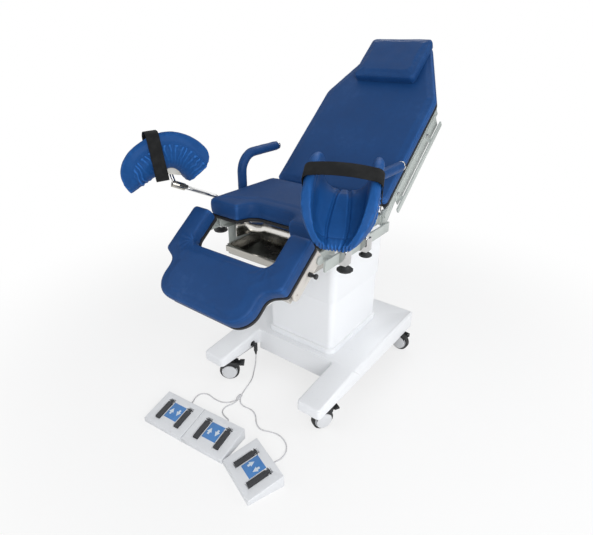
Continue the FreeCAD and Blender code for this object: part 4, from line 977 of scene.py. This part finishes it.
def hung(strap, trough, mirror, tails, slide, turn):
    """Runs the strap's two ends on down the outside of the wings, then slides and turns it on the rims."""
    flip = Vector((mirror, 1.0, 1.0))
    tilt = math.radians(4)
    climb = trough.rise * math.cos(tilt) - trough.near * math.sin(tilt)
    for way, tail in zip((-1.0, 1.0), tails):
        ends = {}
        for face in strap.data.polygons:
            off = face.center * flip - trough.bend
            face.select = False
            if off.dot(trough.wide) * way > 0.09 and (face.normal * flip).dot(climb) < -0.9:
                ends[off.dot(climb)] = face
        ends[min(ends)].select = True
        activate(strap)
        bpy.ops.object.mode_set(mode="EDIT")
        bpy.ops.mesh.select_mode(type="FACE")
        for step in range(4):
            reach = (trough.wide * (0.03 * way) - climb).normalized() * flip * tail / 4
            bpy.ops.mesh.extrude_region_move(TRANSFORM_OT_translate={"value": reach})
        bpy.ops.object.mode_set(mode="OBJECT")
    mirrored = Matrix.Scale(mirror, 4, (1, 0, 0))
    pivot = trough.bend + trough.rise * trough.rim_height
    slid = Matrix.Translation(pivot - trough.near * slide)
    turned = Matrix.Rotation(math.radians(turn), 4, trough.wide)
    eased_out = Matrix.Scale(1.05, 4, trough.wide)
    strap.data.transform(mirrored @ (slid @ turned) @ eased_out @ Matrix.Translation(-pivot) @ mirrored)
    return strap


# Each strap's two tails, its slide along the rims and its turn on them.
strap_lay = {"left": ((0.062, 0.040), 0.022, -21.0), "right": ((0.035, 0.050), 0.0, 0.0)}
for side, mirror in (("left", -1.0), ("right", 1.0)):
    trough = troughs[side]
    flip = Vector((mirror, 1.0, 1.0))
    pole = "support_pole_" + side
    fitted(coated(eased(taken(pole, "pole_" + side), 0.0008), chrome), pole)
    bracket = "pad_bracket_" + side
    joint = eased(taken(bracket, "bracket_" + side), 0.0009)
    coated(joint, chrome, sleeve_steel, black_plastic, cream_enamel)
    for face in joint.data.polygons:
        place = face.center * flip
        reach = (place - trough.pole_end).dot(trough.pole_way)
        off = (place - trough.pole_end - trough.pole_way * reach).length
        across, _, height = trough.spot(place)
        if off > 0.0153 and reach < 0.012:
            face.material_index = 2
        elif off < 0.0156 and reach < 0.0345:
            face.material_index = 1
        elif height > 0.012 and abs(across) > 0.0085:
            face.material_index = 3
        else:
            face.material_index = 0
    fitted(joint, bracket)
    pad, strap = parted("knee_pad_" + side, ("knee_trough_" + side, "knee_strap_" + side))
    stuffed(pad, 0.0055, 0.0015, 0.003, lambda place: trough.spot(place * flip)[2] < 0.043)
    pressed(pad, trough_seams(trough, mirror))
    drawn_in(pad, trough, mirror)
    fitted(coated(pad, painted_light_trough_leather), "knee_pad_" + side)
    eased(hung(strap, trough, mirror, *strap_lay[side]), 0.0007, 2, 50)
    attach(coated(strap, black_webbing), body_of["knee_pad_" + side])


# Armrests: bent plated tubes in the rear clamps, with a thick leather-covered foam sleeve drawn over them and a
# plated cap at the end.
armrest_x = 0.335
for side in ("left", "right"):
    node = "armrest_" + side
    found = parted(node, ("armrest_sleeve_" + side, "armrest_tube_" + side))
    found.sort(key=lambda part: max((point.co.y for point in part.data.vertices)))
    sleeve, tube = found
    sleeve.name = "armrest_sleeve_" + side
    tube.name = "armrest_tube_" + side
    stuffed(sleeve, 0.004, 0.0008, 0.002, lambda place: abs(abs(place.x) - armrest_x) < 0.0105 and place.z < 0.95)
    pressed(sleeve, lambda place, normal: 0.0006 * ripple(place, 0.02, 31.0))
    fitted(coated(sleeve, navy_leather), node)
    eased(tube, 0.0012, 3)
    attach(coated(tube, chrome), body_of[node])
